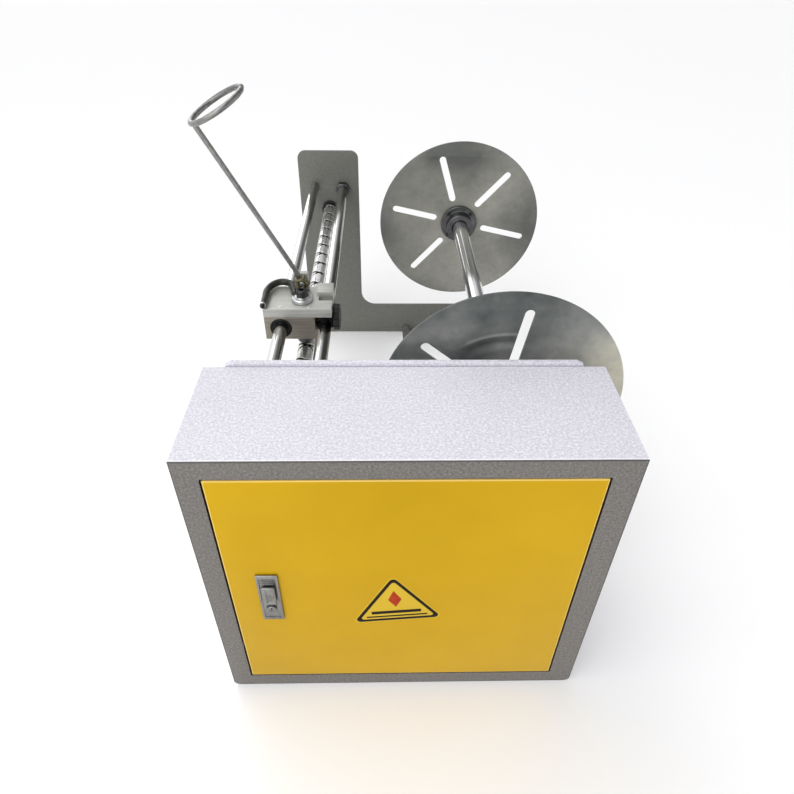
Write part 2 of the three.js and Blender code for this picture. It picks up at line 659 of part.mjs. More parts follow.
function releaseLever() {
  const path = new THREE.CurvePath();
  const start = new THREE.Vector3(SCREW.x - 10.5, PAWL.y + 7, LEVER.z);
  const bendStart = new THREE.Vector3(LEVER.x + LEVER.bend, LEVER.y, LEVER.z);
  const bendEnd = new THREE.Vector3(LEVER.x - LEVER.bend, LEVER.y, LEVER.z);
  const outer = new THREE.Vector3(LEVER.x, LEVER.y + LEVER.bend * 1.95, LEVER.z);
  path.add(new THREE.QuadraticBezierCurve3(
    start, new THREE.Vector3(LEVER.x + LEVER.bend, PAWL.y + 12, LEVER.z), bendStart));
  path.add(new THREE.QuadraticBezierCurve3(bendStart, outer, bendEnd));
  path.add(new THREE.LineCurve3(bendEnd, new THREE.Vector3(LEVER.x - LEVER.bend, LEVER.tip, LEVER.z)));
  const hub = barZ(LEVER_HUB.radius, CARRIAGE.plateTop + GAP, LEVER_HUB.top, SCREW.x, PAWL.y);
  const bore = barZ(PAWL.radius + GAP, CARRIAGE.plateTop - 1, LEVER_HUB.top + 8, SCREW.x, PAWL.y, 20);
  return cut(join(hub, tube(path, LEVER.wire, 21)), bore);
}

function pawlScrew() {
  const head = barZ(6.5, washerTop + GAP, washerTop + 8, SCREW.x, PAWL.y, 20);
  const socket = barZ(3.4, washerTop + 4, washerTop + 9, SCREW.x, PAWL.y, 6);
  const shank = barZ(PAWL.radius - 0.5, CARRIAGE.plateBottom - 10, washerTop + 2, SCREW.x, PAWL.y, 16);
  return cut(join(head, shank), socket);
}

function washer() {
  const disc = barZ(WASHER.radius, LEVER_HUB.top + GAP, washerTop, SCREW.x, PAWL.y);
  return cut(disc, barZ(PAWL.radius, LEVER_HUB.top - 1, washerTop + 1, SCREW.x, PAWL.y, 20));
}

place(carriage, "release_lever", releaseLever(), blackPlastic);
place(carriage, "pawl_washer", washer(), zinc);
place(carriage, "pawl_screw", pawlScrew(), darkSteel);

// hand knob on the right, whose stud runs through the shoe's wall to the rod
function lockKnob() {
  const inner = CARRIAGE.right + GAP;
  const grip = barX(LOCK_KNOB.radius, inner, inner + 9, LOCK_KNOB.y, LOCK_KNOB.z, 24);
  return join(grip, barX(2.5, -88.2, inner + 1, LOCK_KNOB.y, LOCK_KNOB.z, 12));
}

place(carriage, "carriage_knob", lockKnob(), blackPlastic);

// ---------------------------------------------------------------- guide arm

// along the stud from the front: lobed nut, arm eye, clamp block, stud head
const eyeFront = ARM.y - 3;
const eyeBack = ARM.y + 3;
const clampBack = eyeBack + GAP + ARM.clamp;

function clampBlock() {
  const body = block(
    [ARM.x - 7, ARM.x + 7], [eyeBack + GAP, clampBack], [CARRIAGE.plateTop + GAP, ARM.z + 8]);
  return cut(body, barY(ARM.stud + GAP, ARM.y, clampBack + 1, ARM.x, ARM.z, 16));
}

function armStud() {
  return join(
    barY(ARM.stud, eyeFront - ARM_NUT.thickness, clampBack + 1, ARM.x, ARM.z, 16),
    barY(4.6, clampBack + GAP, clampBack + 2.5, ARM.x, ARM.z, 16));
}

// wire arm: an eye on the stud, a straight stem, and a ring that is open at its far end
function guideArm() {
  const toRad = THREE.MathUtils.degToRad;
  const lean = toRad(ARM.lean);
  const tilt = toRad(ARM.ringTilt);
  const along = new THREE.Vector3(-Math.sin(lean), 0, Math.cos(lean));
  const across = new THREE.Vector3(Math.cos(lean), 0, Math.sin(lean));
  const sideways = new THREE.Vector3(0, Math.cos(tilt), 0).addScaledVector(along, Math.sin(tilt));
  const pivot = new THREE.Vector3(ARM.x, ARM.y, ARM.z);
  const top = pivot.clone().addScaledVector(along, ARM.length);
  const centre = top.clone().addScaledVector(across, ARM.ring);
  const ringPoints = [];
  const steps = 24;
  for (let i = 0; i <= steps; i += 1) {
    const angle = toRad(ARM.ringStart + (i * ARM.ringSweep) / steps);
    const point = centre.clone().addScaledVector(across, ARM.ring * Math.cos(angle));
    ringPoints.push(point.addScaledVector(sideways, ARM.ring * Math.sin(angle)));
  }
  const loop = tube(new THREE.CatmullRomCurve3(ringPoints), ARM.wire, 28);
  const stemStart = pivot.clone().addScaledVector(along, 4.5);
  const stem = tube(new THREE.LineCurve3(stemStart, top.clone().addScaledVector(along, 1)), ARM.wire, 1);
  const eye = barY(ARM.eye, eyeFront, eyeBack, ARM.x, ARM.z, 20);
  const eyeBore = barY(ARM.stud + GAP, eyeFront - 1, eyeBack + 1, ARM.x, ARM.z, 16);
  return cut(join(stem, loop, eye), eyeBore);
}

// lobed nut in front of the eye
function armKnob() {
  const { lobes, radius, depth, thickness } = ARM_NUT;
  const points = [];
  for (let i = 0; i < lobes * 6; i += 1) {
    const angle = (i * Math.PI) / (lobes * 3);
    const reach = radius + depth * Math.cos(lobes * angle);
    points.push(new THREE.Vector2(reach * Math.cos(angle), reach * Math.sin(angle)));
  }
  const outline = new THREE.Shape(points);
  const bore = new THREE.Path();
  bore.absarc(0, 0, ARM.stud + GAP, 0, 2 * Math.PI);
  outline.holes.push(bore);
  return plateXZ(outline, eyeFront - GAP - thickness, thickness, 8).translate(ARM.x, 0, ARM.z);
}

place(carriage, "clamp_block", clampBlock(), aluminium);
place(carriage, "arm_stud", armStud(), zinc);
place(carriage, "guide_arm", guideArm(), wireSteel);
place(carriage, "arm_knob", armKnob(), darkSteel);

export default winder;
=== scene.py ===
"""Looks of the motorised take-up winder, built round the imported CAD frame.

Metres, +Z up, +Y away from the door. Sizes and places come from the frame's own boxes.
"""

import json
import math

import bmesh
import bpy
from mathutils import Matrix, Vector


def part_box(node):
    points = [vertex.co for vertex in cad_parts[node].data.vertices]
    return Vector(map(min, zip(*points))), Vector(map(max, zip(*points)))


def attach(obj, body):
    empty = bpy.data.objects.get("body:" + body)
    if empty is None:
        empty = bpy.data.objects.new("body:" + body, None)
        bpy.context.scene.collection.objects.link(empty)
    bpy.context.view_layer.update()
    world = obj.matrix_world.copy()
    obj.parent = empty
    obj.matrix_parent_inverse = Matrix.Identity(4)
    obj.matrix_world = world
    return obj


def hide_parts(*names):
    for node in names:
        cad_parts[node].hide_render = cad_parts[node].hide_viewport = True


MM = 0.001
PAST = 10 * MM  # how far a cutting tool stands past the surface that it opens

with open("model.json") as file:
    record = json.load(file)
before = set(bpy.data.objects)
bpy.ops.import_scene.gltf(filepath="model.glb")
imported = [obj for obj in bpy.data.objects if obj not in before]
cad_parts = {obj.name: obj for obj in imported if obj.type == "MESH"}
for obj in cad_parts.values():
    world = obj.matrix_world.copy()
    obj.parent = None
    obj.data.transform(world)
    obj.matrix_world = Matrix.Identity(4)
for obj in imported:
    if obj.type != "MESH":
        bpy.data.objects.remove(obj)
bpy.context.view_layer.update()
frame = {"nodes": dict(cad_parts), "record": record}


# ------------------------------------------------------------------ places from the frame

def lo(node):
    return Vector(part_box(node)[0])


def hi(node):
    return Vector(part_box(node)[1])


def centre(node):
    return (lo(node) + hi(node)) / 2


def size(node):
    return hi(node) - lo(node)


# ------------------------------------------------------------------ materials

def feed(socket, value):
    """Links another socket to this input, or sets a value on it."""
    if isinstance(value, bpy.types.NodeSocket):
        socket.id_data.links.new(value, socket)
    else:
        socket.default_value = value


def fill(node, **values):
    """Sets a node's properties, and feeds its inputs by name with _ for a space."""
    for key, value in values.items():
        if hasattr(node, key):
            setattr(node, key, value)
        else:
            feed(node.inputs[key.replace("_", " ")], value)


def node_adder(tree):
    """A function that adds a node, with inputs in order or by name, and returns its output."""
    def add(kind, *inputs, output=None, **values):
        node = tree.nodes.new("ShaderNode" + kind)
        fill(node, **values)
        for socket, value in zip(node.inputs, inputs):
            feed(socket, value)
        return node.outputs[output] if output else next(out for out in node.outputs if out.enabled)

    return add


def main_shader(material):
    return material.node_tree.nodes["Principled BSDF"]


def new_material(name):
    """A material, a function that adds a node to it, its main shader and the piece's coordinates."""
    material = bpy.data.materials.new(name)
    material.use_nodes = True
    add = node_adder(material.node_tree)
    return material, add, main_shader(material), add("TexCoord", output="Object")


def rgba(colour):
    """A colour given by three parts, or by one for a grey."""
    return (*colour, 1) if isinstance(colour, (tuple, list)) else (colour, colour, colour, 1)


def ramp(add, source, stops):
    """A colour ramp fed by source; stops are (position, colour)."""
    colour = add("ValToRGB", source)
    elements = colour.node.color_ramp.elements
    while len(elements) < len(stops):
        elements.new(0.5)
    for element, (position, shade) in zip(elements, stops):
        element.position = position
        element.color = rgba(shade)
    return colour


def noise(add, coords, scale, detail=3.0, rough=0.5, stretch=None):
    """A noise texture in the piece's own metres, stretched along an axis when asked."""
    if stretch:
        coords = add("Mapping", coords, Scale=stretch)
    return add("TexNoise", Vector=coords, Scale=scale, Detail=detail, Roughness=rough)


def remap(add, source, start, end, low=0.0, high=1.0, soft=False):
    """Maps start..end of the source to low..high."""
    return add("MapRange", source, interpolation_type="SMOOTHSTEP" if soft else "LINEAR",
               From_Min=start, From_Max=end, To_Min=low, To_Max=high)


def blend(add, first, second, factor, kind="MIX"):
    return add("Mix", data_type="RGBA", blend_type=kind, Factor=factor, A=first, B=second)


def vector_math(add, operation, *inputs):
    return add("VectorMath", *inputs, operation=operation)


def surface(add, shader, colour, grain, rough, relief, depth=0.2 * MM, peel=None):
    """Gives the shader its colour, a roughness that follows the grain, and a fine relief."""
    height = add("Bump", Strength=relief, Distance=depth, Height=peel or grain)
    fill(shader, Base_Color=colour, Roughness=remap(add, grain, 0.0, 1.0, *rough), Normal=height)


def powder_coat(name, dark, base, light, fleck_scale, rough=(0.45, 0.62), peel=0.14):
    """Speckled powder coat: fine flecks over broad, faint shade, on an orange-peel surface."""
    material, add, shader, coords = new_material(name)
    fleck = noise(add, coords, fleck_scale, 2.0, 0.6)
    broad = ramp(add, noise(add, coords, 9.0), [(0.3, (0.86, 0.86, 0.87)), (0.7, 1)])
    flecked = ramp(add, fleck, [(0.30, dark), (0.50, base), (0.70, light)])
    grain = noise(add, coords, fleck_scale * 0.6, 2.0)
    surface(add, shader, blend(add, flecked, broad, 0.35, "MULTIPLY"), grain, rough, peel)
    return material


def gloss_paint(name, base, deep, rough=(0.28, 0.42)):
    """Sprayed door enamel: a soft shade drift, faint scuffs and light orange peel."""
    material, add, shader, coords = new_material(name)
    colour = ramp(add, noise(add, coords, 4.0, 4.0, 0.55), [(0.30, deep), (0.62, base)])
    scuff = noise(add, coords, 60.0, 6.0, 0.65, stretch=(1.0, 1.0, 0.15))
    surface(add, shader, colour, scuff, rough, 0.12, peel=noise(add, coords, 420.0, 2.0))
    shader.inputs["Specular IOR Level"].default_value = 0.12
    return material


def metal(name, dark, light, rough, stretch, scale, relief, metallic=1.0):
    """Metal with a drawn or milled grain along the unstretched axis, and broad tarnish."""
    material, add, shader, coords = new_material(name)
    grain = noise(add, coords, scale, 4.0, 0.6, stretch)
    broad = noise(add, coords, 6.0, 4.0, 0.55)
    tarnish = add("Mix", data_type="FLOAT", Factor=0.45, A=broad, B=grain)
    surface(add, shader, ramp(add, tarnish, [(0.36, dark), (0.62, light)]), grain, rough, relief, 0.1 * MM)
    shader.inputs["Metallic"].default_value = metallic
    return material


def plastic(name, base, worn, rough=(0.4, 0.62), grain_scale=700.0, relief=0.2, specular=0.2):
    material, add, shader, coords = new_material(name)
    colour = ramp(add, noise(add, coords, 45.0, 5.0, 0.6), [(0.42, base), (0.75, worn)])
    surface(add, shader, colour, noise(add, coords, grain_scale, 2.0), rough, relief)
    shader.inputs["Specular IOR Level"].default_value = specular
    return material


def weathered_zinc_and_painted_light(name, shades, middle, rim_and_middle_shift, painted_light_patches, rough, metallic, specular, arcs_near=None):
    """Zinc-coated sheet gone dull: soft clouds of olive and blue grey, faint spangle, scuffs.

    Its rim and middle are shifted along the clouds' shades by the given amounts, and so is each patch of
    painted shade and painted light, given as (x, z, reach, shift) from its middle. Light and dark arcs are
    drawn round it near the last point given."""
    material, add, shader, coords = new_material(name)
    apart = vector_math(add, "SUBTRACT", coords, middle)
    radius = vector_math(add, "LENGTH", apart)
    rim, inner = 140 * MM, 30 * MM
    shade = add("Math", remap(add, radius, rim, inner, *rim_and_middle_shift), noise(add, coords, 7.0, 5.0, 0.55))
    # the patches are painted shade where they darken and painted light where they lighten
    for x, z, reach, shift in painted_light_patches:
        away = vector_math(add, "DISTANCE", apart, (x, 0, z))
        shade = add("Math", shade, remap(add, away, reach, 0.0, 0.0, shift, soft=True))
    colour = ramp(add, shade, shades)
    if arcs_near:
        colour = arcs_round_middle(add, coords, colour, radius, arcs_near)
    cells = add("TexVoronoi", Vector=coords, Scale=160.0, output="Color")
    spangle = ramp(add, add("SeparateColor", cells), [(0.0, 0.88), (1.0, 1)])
    scuff = noise(add, coords, 240.0, 4.0, 0.65, stretch=(0.25, 1.0, 1.0))
    surface(add, shader, blend(add, colour, spangle, 0.8, "MULTIPLY"), scuff, rough, 0.10, 0.1 * MM)
    shader.inputs["Metallic"].default_value = metallic
    shader.inputs["Specular IOR Level"].default_value = specular
    return material


# light and dark arcs on a disc, as (radius in mm, multiplier)
ARC_GREYS = [(66.0, 1.0), (71.5, 1.45), (75.5, 1.30), (80.0, 0.60), (84.5, 0.70), (87.2, 1.9), (90.5, 1.0)]


def arcs_round_middle(add, coords, colour, radius, near):
    """Light and dark arcs round the middle that fade out away from the point near."""
    inner, outer = ARC_GREYS[0][0], ARC_GREYS[-1][0]
    arcs = ramp(
        add, remap(add, radius, inner * MM, outer * MM),
        [((at - inner) / (outer - inner), grey / 2) for at, grey in ARC_GREYS])
    double = add("VectorMath", arcs, operation="SCALE", Scale=2.0)
    gone, whole = 42 * MM, 18 * MM
    fading = remap(add, vector_math(add, "DISTANCE", coords, near), gone, whole, soft=True)
    return blend(add, colour, double, fading, "MULTIPLY")


def tint(material, tone, factor):
    """Blends a tone over a material's own colour."""
    base = main_shader(material).inputs["Base Color"]
    feed(base, blend(node_adder(material.node_tree), base.links[0].from_socket, rgba(tone), factor))


def paint_edge_light_and_shade(material, low, high, reach, depth, tone):
    """Blends a tone into a paint at a box's front edges: a painted highlight where the tone is light, a
    painted shade line where it is dark.

    The tint is within reach of the sides in X and Z, when given, and within depth of the front."""
    add = node_adder(material.node_tree)
    apart = vector_math(add, "SUBTRACT", add("TexCoord", output="Object"), (low + high) / 2)
    inset = vector_math(add, "SUBTRACT", (high - low) / 2, vector_math(add, "ABSOLUTE", apart))
    inset_on = add("SeparateXYZ", inset).node.outputs
    strength = 0.8
    factor = remap(add, inset_on["Y"], depth, depth / 2, 0.0, strength)
    if reach:
        nearest = add("Math", inset_on["X"], inset_on["Z"], operation="MINIMUM")
        factor = add("Math", factor, remap(add, nearest, reach, reach / 2), operation="MULTIPLY")
    tint(material, tone, factor)


BOX_SHADES = ((0.53, 0.52, 0.575), (0.64, 0.63, 0.69), (0.80, 0.79, 0.84), 430.0)
BOX_PAINT = powder_coat("box_paint", *BOX_SHADES)
SHELL_PAINT = powder_coat("shell_paint", *BOX_SHADES)
# the front face round the door: the box paint made much darker, as painted shade
FRONT_PAINTED_SHADE = powder_coat(
    "box_paint_with_painted_front_shade", (0.098, 0.090, 0.082), (0.146, 0.136, 0.125), (0.22, 0.206, 0.192), 430.0)
PLATE_PAINT = powder_coat(
    "plate_paint", (0.112, 0.114, 0.099), (0.140, 0.142, 0.124), (0.178, 0.180, 0.160), 500.0,
    (0.5, 0.65), 0.15)
MOTOR_PAINT = powder_coat("motor_paint", (0.05, 0.06, 0.07), (0.075, 0.09, 0.105), (0.11, 0.13, 0.15), 500.0)
DOOR_PAINT = gloss_paint("door_paint", (0.575, 0.345, 0.003), (0.50, 0.296, 0.002))

EVEN = (1, 1, 1)
ALONG_X, ALONG_Y, ALONG_Z = (0.05, 1, 1), (1, 0.04, 1), (1, 1, 0.3)
NUT_METAL = metal("tarnished_nut", (0.07, 0.062, 0.034), (0.24, 0.215, 0.13), (0.3, 0.5), EVEN, 160, 0.1)
CHROME = metal("chrome", (0.62, 0.62, 0.63), (0.80, 0.80, 0.81), (0.08, 0.18), ALONG_Y, 240, 0.03)
SCREW_STEEL = metal(
    "screw_steel", (0.56, 0.56, 0.55), (0.80, 0.80, 0.78), (0.17, 0.32), (1, 4, 1), 120, 0.08, 0.9)
ZINC = metal("zinc_plate", (0.48, 0.49, 0.50), (0.70, 0.71, 0.71), (0.25, 0.42), ALONG_Z, 160, 0.08)
LOCK_METAL = metal("lock_metal", (0.13, 0.13, 0.127), (0.33, 0.33, 0.32), (0.34, 0.52), ALONG_Z, 420, 0.2)
ALUMINIUM = metal(
    "milled_aluminium", (0.33, 0.33, 0.30), (0.52, 0.52, 0.49), (0.42, 0.60), ALONG_X, 300, 0.15, 0.6)
BLOCK_METAL = metal(
    "sawn_aluminium", (0.18, 0.165, 0.135), (0.32, 0.295, 0.245), (0.36, 0.55), ALONG_X, 300, 0.15)
BLACK_OXIDE = metal("black_oxide", (0.035, 0.035, 0.036), 0.10, (0.32, 0.5), EVEN, 130, 0.1)
HUB_STEEL = metal("hub_steel", (0.06, 0.062, 0.065), (0.17, 0.17, 0.172), (0.3, 0.46), EVEN, 90, 0.1)
WIRE = metal("drawn_wire", (0.15, 0.15, 0.145), (0.33, 0.325, 0.31), (0.28, 0.42), EVEN, 200, 0.06)
BRASS = metal("terminal_brass", (0.45, 0.31, 0.10), (0.65, 0.48, 0.20), (0.25, 0.4), EVEN, 200, 0.05)
GALVANISED = weathered_zinc_and_painted_light(
    "galvanised_sheet",
    [(0.32, (0.13, 0.135, 0.125)), (0.50, (0.24, 0.24, 0.215)), (0.74, (0.38, 0.375, 0.33))],
    centre("far_flange"), (-0.09, 0.06),
    # painted shade on the far disc's top and left, and painted light at its bottom
    [(0.0, 0.11, 0.12, -0.17), (-0.13, 0.0, 0.06, -0.12), (0.03, -0.10, 0.13, 0.22)],
    (0.36, 0.52), 0.6, 0.5)
NEAR_DISC_MIDDLE = centre("near_flange")
NEAR_DISC = weathered_zinc_and_painted_light(
    "galvanised_sheet_dark",
    [(0.26, (0.055, 0.064, 0.062)), (0.40, (0.155, 0.164, 0.158)), (0.52, (0.27, 0.275, 0.262)),
     (0.74, (0.56, 0.54, 0.44))],
    NEAR_DISC_MIDDLE, (-0.10, 0.10),
    # painted shade and reflection on the near disc: a dark top, a light right side, a dark and a light patch
    # at the upper left
    [(0.01, 0.135, 0.08, -0.24), (0.11, 0.04, 0.11, 0.29), (-0.035, 0.055, 0.045, -0.18),
     (-0.07, 0.09, 0.05, 0.09)],
    (0.50, 0.64), 0.1, 0.2, NEAR_DISC_MIDDLE + Vector((-18, 0, 82)) * MM)

BLACK = plastic("black_plastic", 0.012, (0.035, 0.035, 0.034))
BLACK_GLOSS = plastic("black_enamel", (0.014, 0.014, 0.011), (0.06, 0.058, 0.048), (0.14, 0.28), 300.0, 0.05)
RUBBER = plastic("belt_rubber", 0.016, (0.05, 0.05, 0.048), (0.65, 0.85))
CASE_BLUE = plastic("controller_case", (0.03, 0.085, 0.19), (0.06, 0.12, 0.23))
TERMINAL = plastic("terminal_green", (0.02, 0.20, 0.07), (0.05, 0.26, 0.11))
LABEL_YELLOW = gloss_paint("label_yellow", (0.64, 0.44, 0.035), (0.58, 0.39, 0.025), (0.3, 0.4))
LABEL_BLACK = plastic(
    "label_black", (0.012, 0.006, 0.005), (0.02, 0.012, 0.010), (0.5, 0.6), specular=0.1)
LABEL_RED = plastic("label_red", (0.36, 0.030, 0.008), (0.44, 0.05, 0.015), (0.5, 0.6), specular=0.1)


# ------------------------------------------------------------------ mesh helpers

def smooth_by_angle(mesh, degrees=32.0):
    """Smooth faces, with edges sharper than the angle kept hard."""
    mesh.shade_smooth()
    work = bmesh.new()
    work.from_mesh(mesh)
    limit = math.radians(degrees)
    for edge in work.edges:
        if len(edge.link_faces) == 2:
            edge.smooth = edge.calc_face_angle(0.0) < limit
    work.to_mesh(mesh)
    work.free()
    return mesh


def mesh_of(work):
    mesh = bpy.data.meshes.new("work")
    work.to_mesh(mesh)
    work.free()
    return mesh


def finish_mesh(work, degrees=32.0):
    bmesh.ops.remove_doubles(work, verts=work.verts, dist=1e-6)
    bmesh.ops.recalc_face_normals(work, faces=work.faces)
    return smooth_by_angle(mesh_of(work), degrees)


def loose(data, name="work"):
    piece = bpy.data.objects.new(name, data)
    bpy.context.scene.collection.objects.link(piece)
    return piece


def baked(piece):
    """The piece's mesh with its modifiers applied; the piece itself is removed."""
    graph = bpy.context.evaluated_depsgraph_get()
    mesh = bpy.data.meshes.new_from_object(piece.evaluated_get(graph))
    bpy.data.objects.remove(piece)
    return mesh


def boolean(mesh, *tools, operation="DIFFERENCE"):
    piece = loose(mesh)
    helpers = []
    for tool in tools:
        helper = loose(tool)
        helpers.append(helper)
        modifier = piece.modifiers.new("cut", "BOOLEAN")
        modifier.operation = operation
        modifier.solver = "EXACT"
        modifier.object = helper
    result = baked(piece)
    for helper in helpers:
        bpy.data.objects.remove(helper)
    return smooth_by_angle(result)


def merged(*meshes):
    """Several closed meshes as one."""
    work = bmesh.new()
    for mesh in meshes:
        work.from_mesh(mesh)
    return smooth_by_angle(mesh_of(work))


def block(low, high):
    low, high = Vector(low), Vector(high)
    work = bmesh.new()
    scale = Matrix.Diagonal((*(high - low), 1))
    bmesh.ops.create_cube(work, size=1.0, matrix=Matrix.Translation((low + high) / 2) @ scale)
    return mesh_of(work)


def soft_block(low, high, width=0.8 * MM, segments=3):
    """A block with rounded edges."""
    piece = loose(block(low, high))
    modifier = piece.modifiers.new("bevel", "BEVEL")
    modifier.width = width
    modifier.segments = segments
    modifier.limit_method = "ANGLE"
    modifier.angle_limit = math.radians(30.0)
    modifier.use_clamp_overlap = True
    return smooth_by_angle(baked(piece))


TURN = {
    "Y": Matrix.Identity(4),
    "Z": Matrix.Rotation(math.pi / 2, 4, "X"),
    "X": Matrix.Rotation(-math.pi / 2, 4, "Z"),
}


def turns(count):
    """Angles evenly spaced round a circle."""
    return [2 * math.pi * i / count for i in range(count)]


def round_y(middle, reach, turn, y=0):
    """A point at a reach and an angle round the axis through middle in Y."""
    return (middle.x + reach * math.cos(turn), y, middle.z + reach * math.sin(turn))


def revolve(profile, at, axis="Y", segments=64, closed=False):
    """A solid of revolution from (radius, station) points, about the axis through the point at."""
    work = bmesh.new()
    rings = []
    for radius, station in profile:
        if radius < 1e-7:
            rings.append([work.verts.new((0, station, 0))])
            continue
        rings.append([
            work.verts.new((radius * math.cos(turn), station, radius * math.sin(turn)))
            for turn in turns(segments)])
    pairs = list(zip(rings, rings[1:]))
    if closed:
        pairs.append((rings[-1], rings[0]))
    for a, b in pairs:
        for i in range(segments):
            j = (i + 1) % segments
            corners = [a[i % len(a)], a[j % len(a)], b[j % len(b)], b[i % len(b)]]
            unique = list(dict.fromkeys(corners))
            if len(unique) > 2:
                work.faces.new(unique)
    foot = Vector(at)
    foot["XYZ".index(axis)] = 0
    bmesh.ops.transform(work, matrix=Matrix.Translation(foot) @ TURN[axis], verts=work.verts)
    return finish_mesh(work)


def through(station, end=None):
    """The range of a cutting tool that passes a face, or that passes both ends of a solid."""
    return station - PAST, (station if end is None else end) + PAST


def drill(radius, at, start, end, axis="Y", segments=40):
    """A plain round tool for cutting."""
    return revolve([(0, start), (radius, start), (radius, end), (0, end)], at, axis, segments)


def bar(radius, start, end, at, axis="Y", segments=48, chamfer=0.6 * MM):
    """A round bar with chamfered ends."""
    profile = [
        (0, start), (radius - chamfer, start), (radius, start + chamfer),
        (radius, end - chamfer), (radius - chamfer, end), (0, end)]
    return revolve(profile, at, axis, segments)


def ring(inner, outer, start, end, at, axis="Y", segments=64, chamfer=0.6 * MM):
    """A ring with all four edges chamfered."""
    profile = [
        (inner, start + chamfer), (inner + chamfer, start), (outer - chamfer, start),
        (outer, start + chamfer), (outer, end - chamfer), (outer - chamfer, end),
        (inner + chamfer, end), (inner, end - chamfer)]
    return revolve(profile, at, axis, segments, True)


def skinned(rings, degrees=32.0):
    """A closed mesh through rings of points, with a face over each end."""
    work = bmesh.new()
    rings = [[work.verts.new(point) for point in points] for points in rings]
    for a, b in zip(rings, rings[1:]):
        for i in range(len(a)):
            k = (i + 1) % len(a)
            work.faces.new((a[i], a[k], b[k], b[i]))
    work.faces.new(rings[0])
    work.faces.new(rings[-1])
    return finish_mesh(work, degrees)


def arc(cx, cz, radius, start, end, steps):
    """Points on an arc, in degrees."""
    span = [math.radians(start + (end - start) * i / steps) for i in range(steps + 1)]
    return [(cx + radius * math.cos(a), cz + radius * math.sin(a)) for a in span]


def circle(at, radius, steps=96):
    return arc(at.x, at.z, radius, 0, 360 - 360 / steps, steps - 1)


def spaced_round(middle, radius, count, start=0.0):
    """Points evenly spaced round a middle in X and Z, from an angle in degrees."""
    return [Vector(round_y(middle, radius, turn + math.radians(start))) for turn in turns(count)]


def sheet_plate(outline, holes, front, thickness, edge=0.4 * MM):
    """A plate in X and Z with softened edges, thickness running back along +Y from front."""
    curve = bpy.data.curves.new("outline", "CURVE")
    curve.dimensions = "2D"
    curve.fill_mode = "BOTH"
    curve.extrude = thickness / 2 - edge
    curve.bevel_depth = edge
    curve.bevel_resolution = 2
    curve.offset = -edge
    for loop in [outline, *holes]:
        spline = curve.splines.new("POLY")
        spline.points.add(len(loop) - 1)
        for point, (x, z) in zip(spline.points, loop):
            point.co = (x, z, 0, 1)
        spline.use_cyclic_u = True
    work = bmesh.new()
    work.from_mesh(baked(loose(curve)))
    stand = Matrix.Translation((0, front + thickness / 2, 0)) @ Matrix.Rotation(math.pi / 2, 4, "X")
    bmesh.ops.transform(work, matrix=stand, verts=work.verts)
    return finish_mesh(work, 25)


def tube(points, radius, sides=20, smooth=8):
    """A round wire through the points on a smooth path, with domed ends.

    The radius is one number, or one for each point."""
    path = [Vector(p) for p in points]
    radii = radius if isinstance(radius, list) else [radius] * len(path)
    stations = []
    for i in range(len(path) - 1):
        p0 = path[max(i - 1, 0)]
        p1, p2 = path[i], path[i + 1]
        p3 = path[min(i + 2, len(path) - 1)]
        for k in range(smooth):
            t = k / smooth
            stations.append((0.5 * (
                2 * p1 + (p2 - p0) * t + (2 * p0 - 5 * p1 + 4 * p2 - p3) * t * t
                + (3 * p1 - p0 - 3 * p2 + p3) * t ** 3), radii[i] + (radii[i + 1] - radii[i]) * t))
    stations.append((path[-1], radii[-1]))

    def dome(end, inward):
        point, wide = end
        outward = (point - inward[0]).normalized() * wide
        slopes = [math.radians(degrees) for degrees in (30, 60, 82)]
        return [(point + outward * math.sin(slope), wide * math.cos(slope)) for slope in slopes]

    head, tail = dome(stations[0], stations[1]), dome(stations[-1], stations[-2])
    stations = head[::-1] + stations + tail
    rings = []
    normal = None
    for i, (point, wide) in enumerate(stations):
        before = stations[max(i - 1, 0)][0]
        after = stations[min(i + 1, len(stations) - 1)][0]
        heading = (after - before).normalized()
        if normal is None:
            guide = Vector((0, 0, 1)) if abs(heading.z) < 0.9 else Vector((1, 0, 0))
            normal = heading.cross(guide).normalized()
        normal = (normal - heading * normal.dot(heading)).normalized()
        side = heading.cross(normal)
        rings.append([
            point + wide * (normal * math.cos(turn) + side * math.sin(turn)) for turn in turns(sides)])
    return skinned(rings, 50)


def hexagon_head(radius, start, end, at, axis="Y"):
    """A hexagon with a turned chamfer at its outer face, which is at end."""
    direction = 1 if end > start else -1
    cone = revolve([
        (0, start), (radius * 1.1, start), (radius * 1.1, end - direction * radius * 0.32),
        (radius * 0.80, end), (0, end)], at, axis, 48)
    return boolean(drill(radius, at, start, end, axis, 6), cone, operation="INTERSECT")


def socket_head(radius, start, end, at, axis="Y"):
    """A cap screw head with a hexagon socket in its outer face, which is at end."""
    direction = 1 if end > start else -1
    chamfer = radius * 0.12
    head = revolve([
        (0, start), (radius, start), (radius, end - direction * chamfer),
        (radius - chamfer, end), (0, end)], at, axis, 40)
    floor_at, past = end - direction * radius * 0.75, end + direction * radius
    return boolean(head, drill(radius * 0.52, at, floor_at, past, axis, 6))


# ------------------------------------------------------------------ camera, floor and light

LENS = 28.09
EYE = (-0.0217, -0.4333, 0.7314)
YAW, PITCH, ROLL = (math.radians(degrees) for degrees in (1.566, 38.698, 0.831))


def camera():
    """The view: from the front left and above, tilted down at the cabinet."""
    data = bpy.data.cameras.new("camera")
    data.sensor_width = 36.0
    data.lens = LENS
    data.clip_start = 0.01
    piece = loose(data, "camera")
    forward = Vector((math.sin(YAW) * math.cos(PITCH), math.cos(YAW) * math.cos(PITCH), -math.sin(PITCH)))
    aim = forward.to_track_quat("-Z", "Y").to_matrix().to_4x4()
    piece.matrix_world = Matrix.Translation(EYE) @ aim @ Matrix.Rotation(ROLL, 4, "Z")
    bpy.context.scene.camera = piece


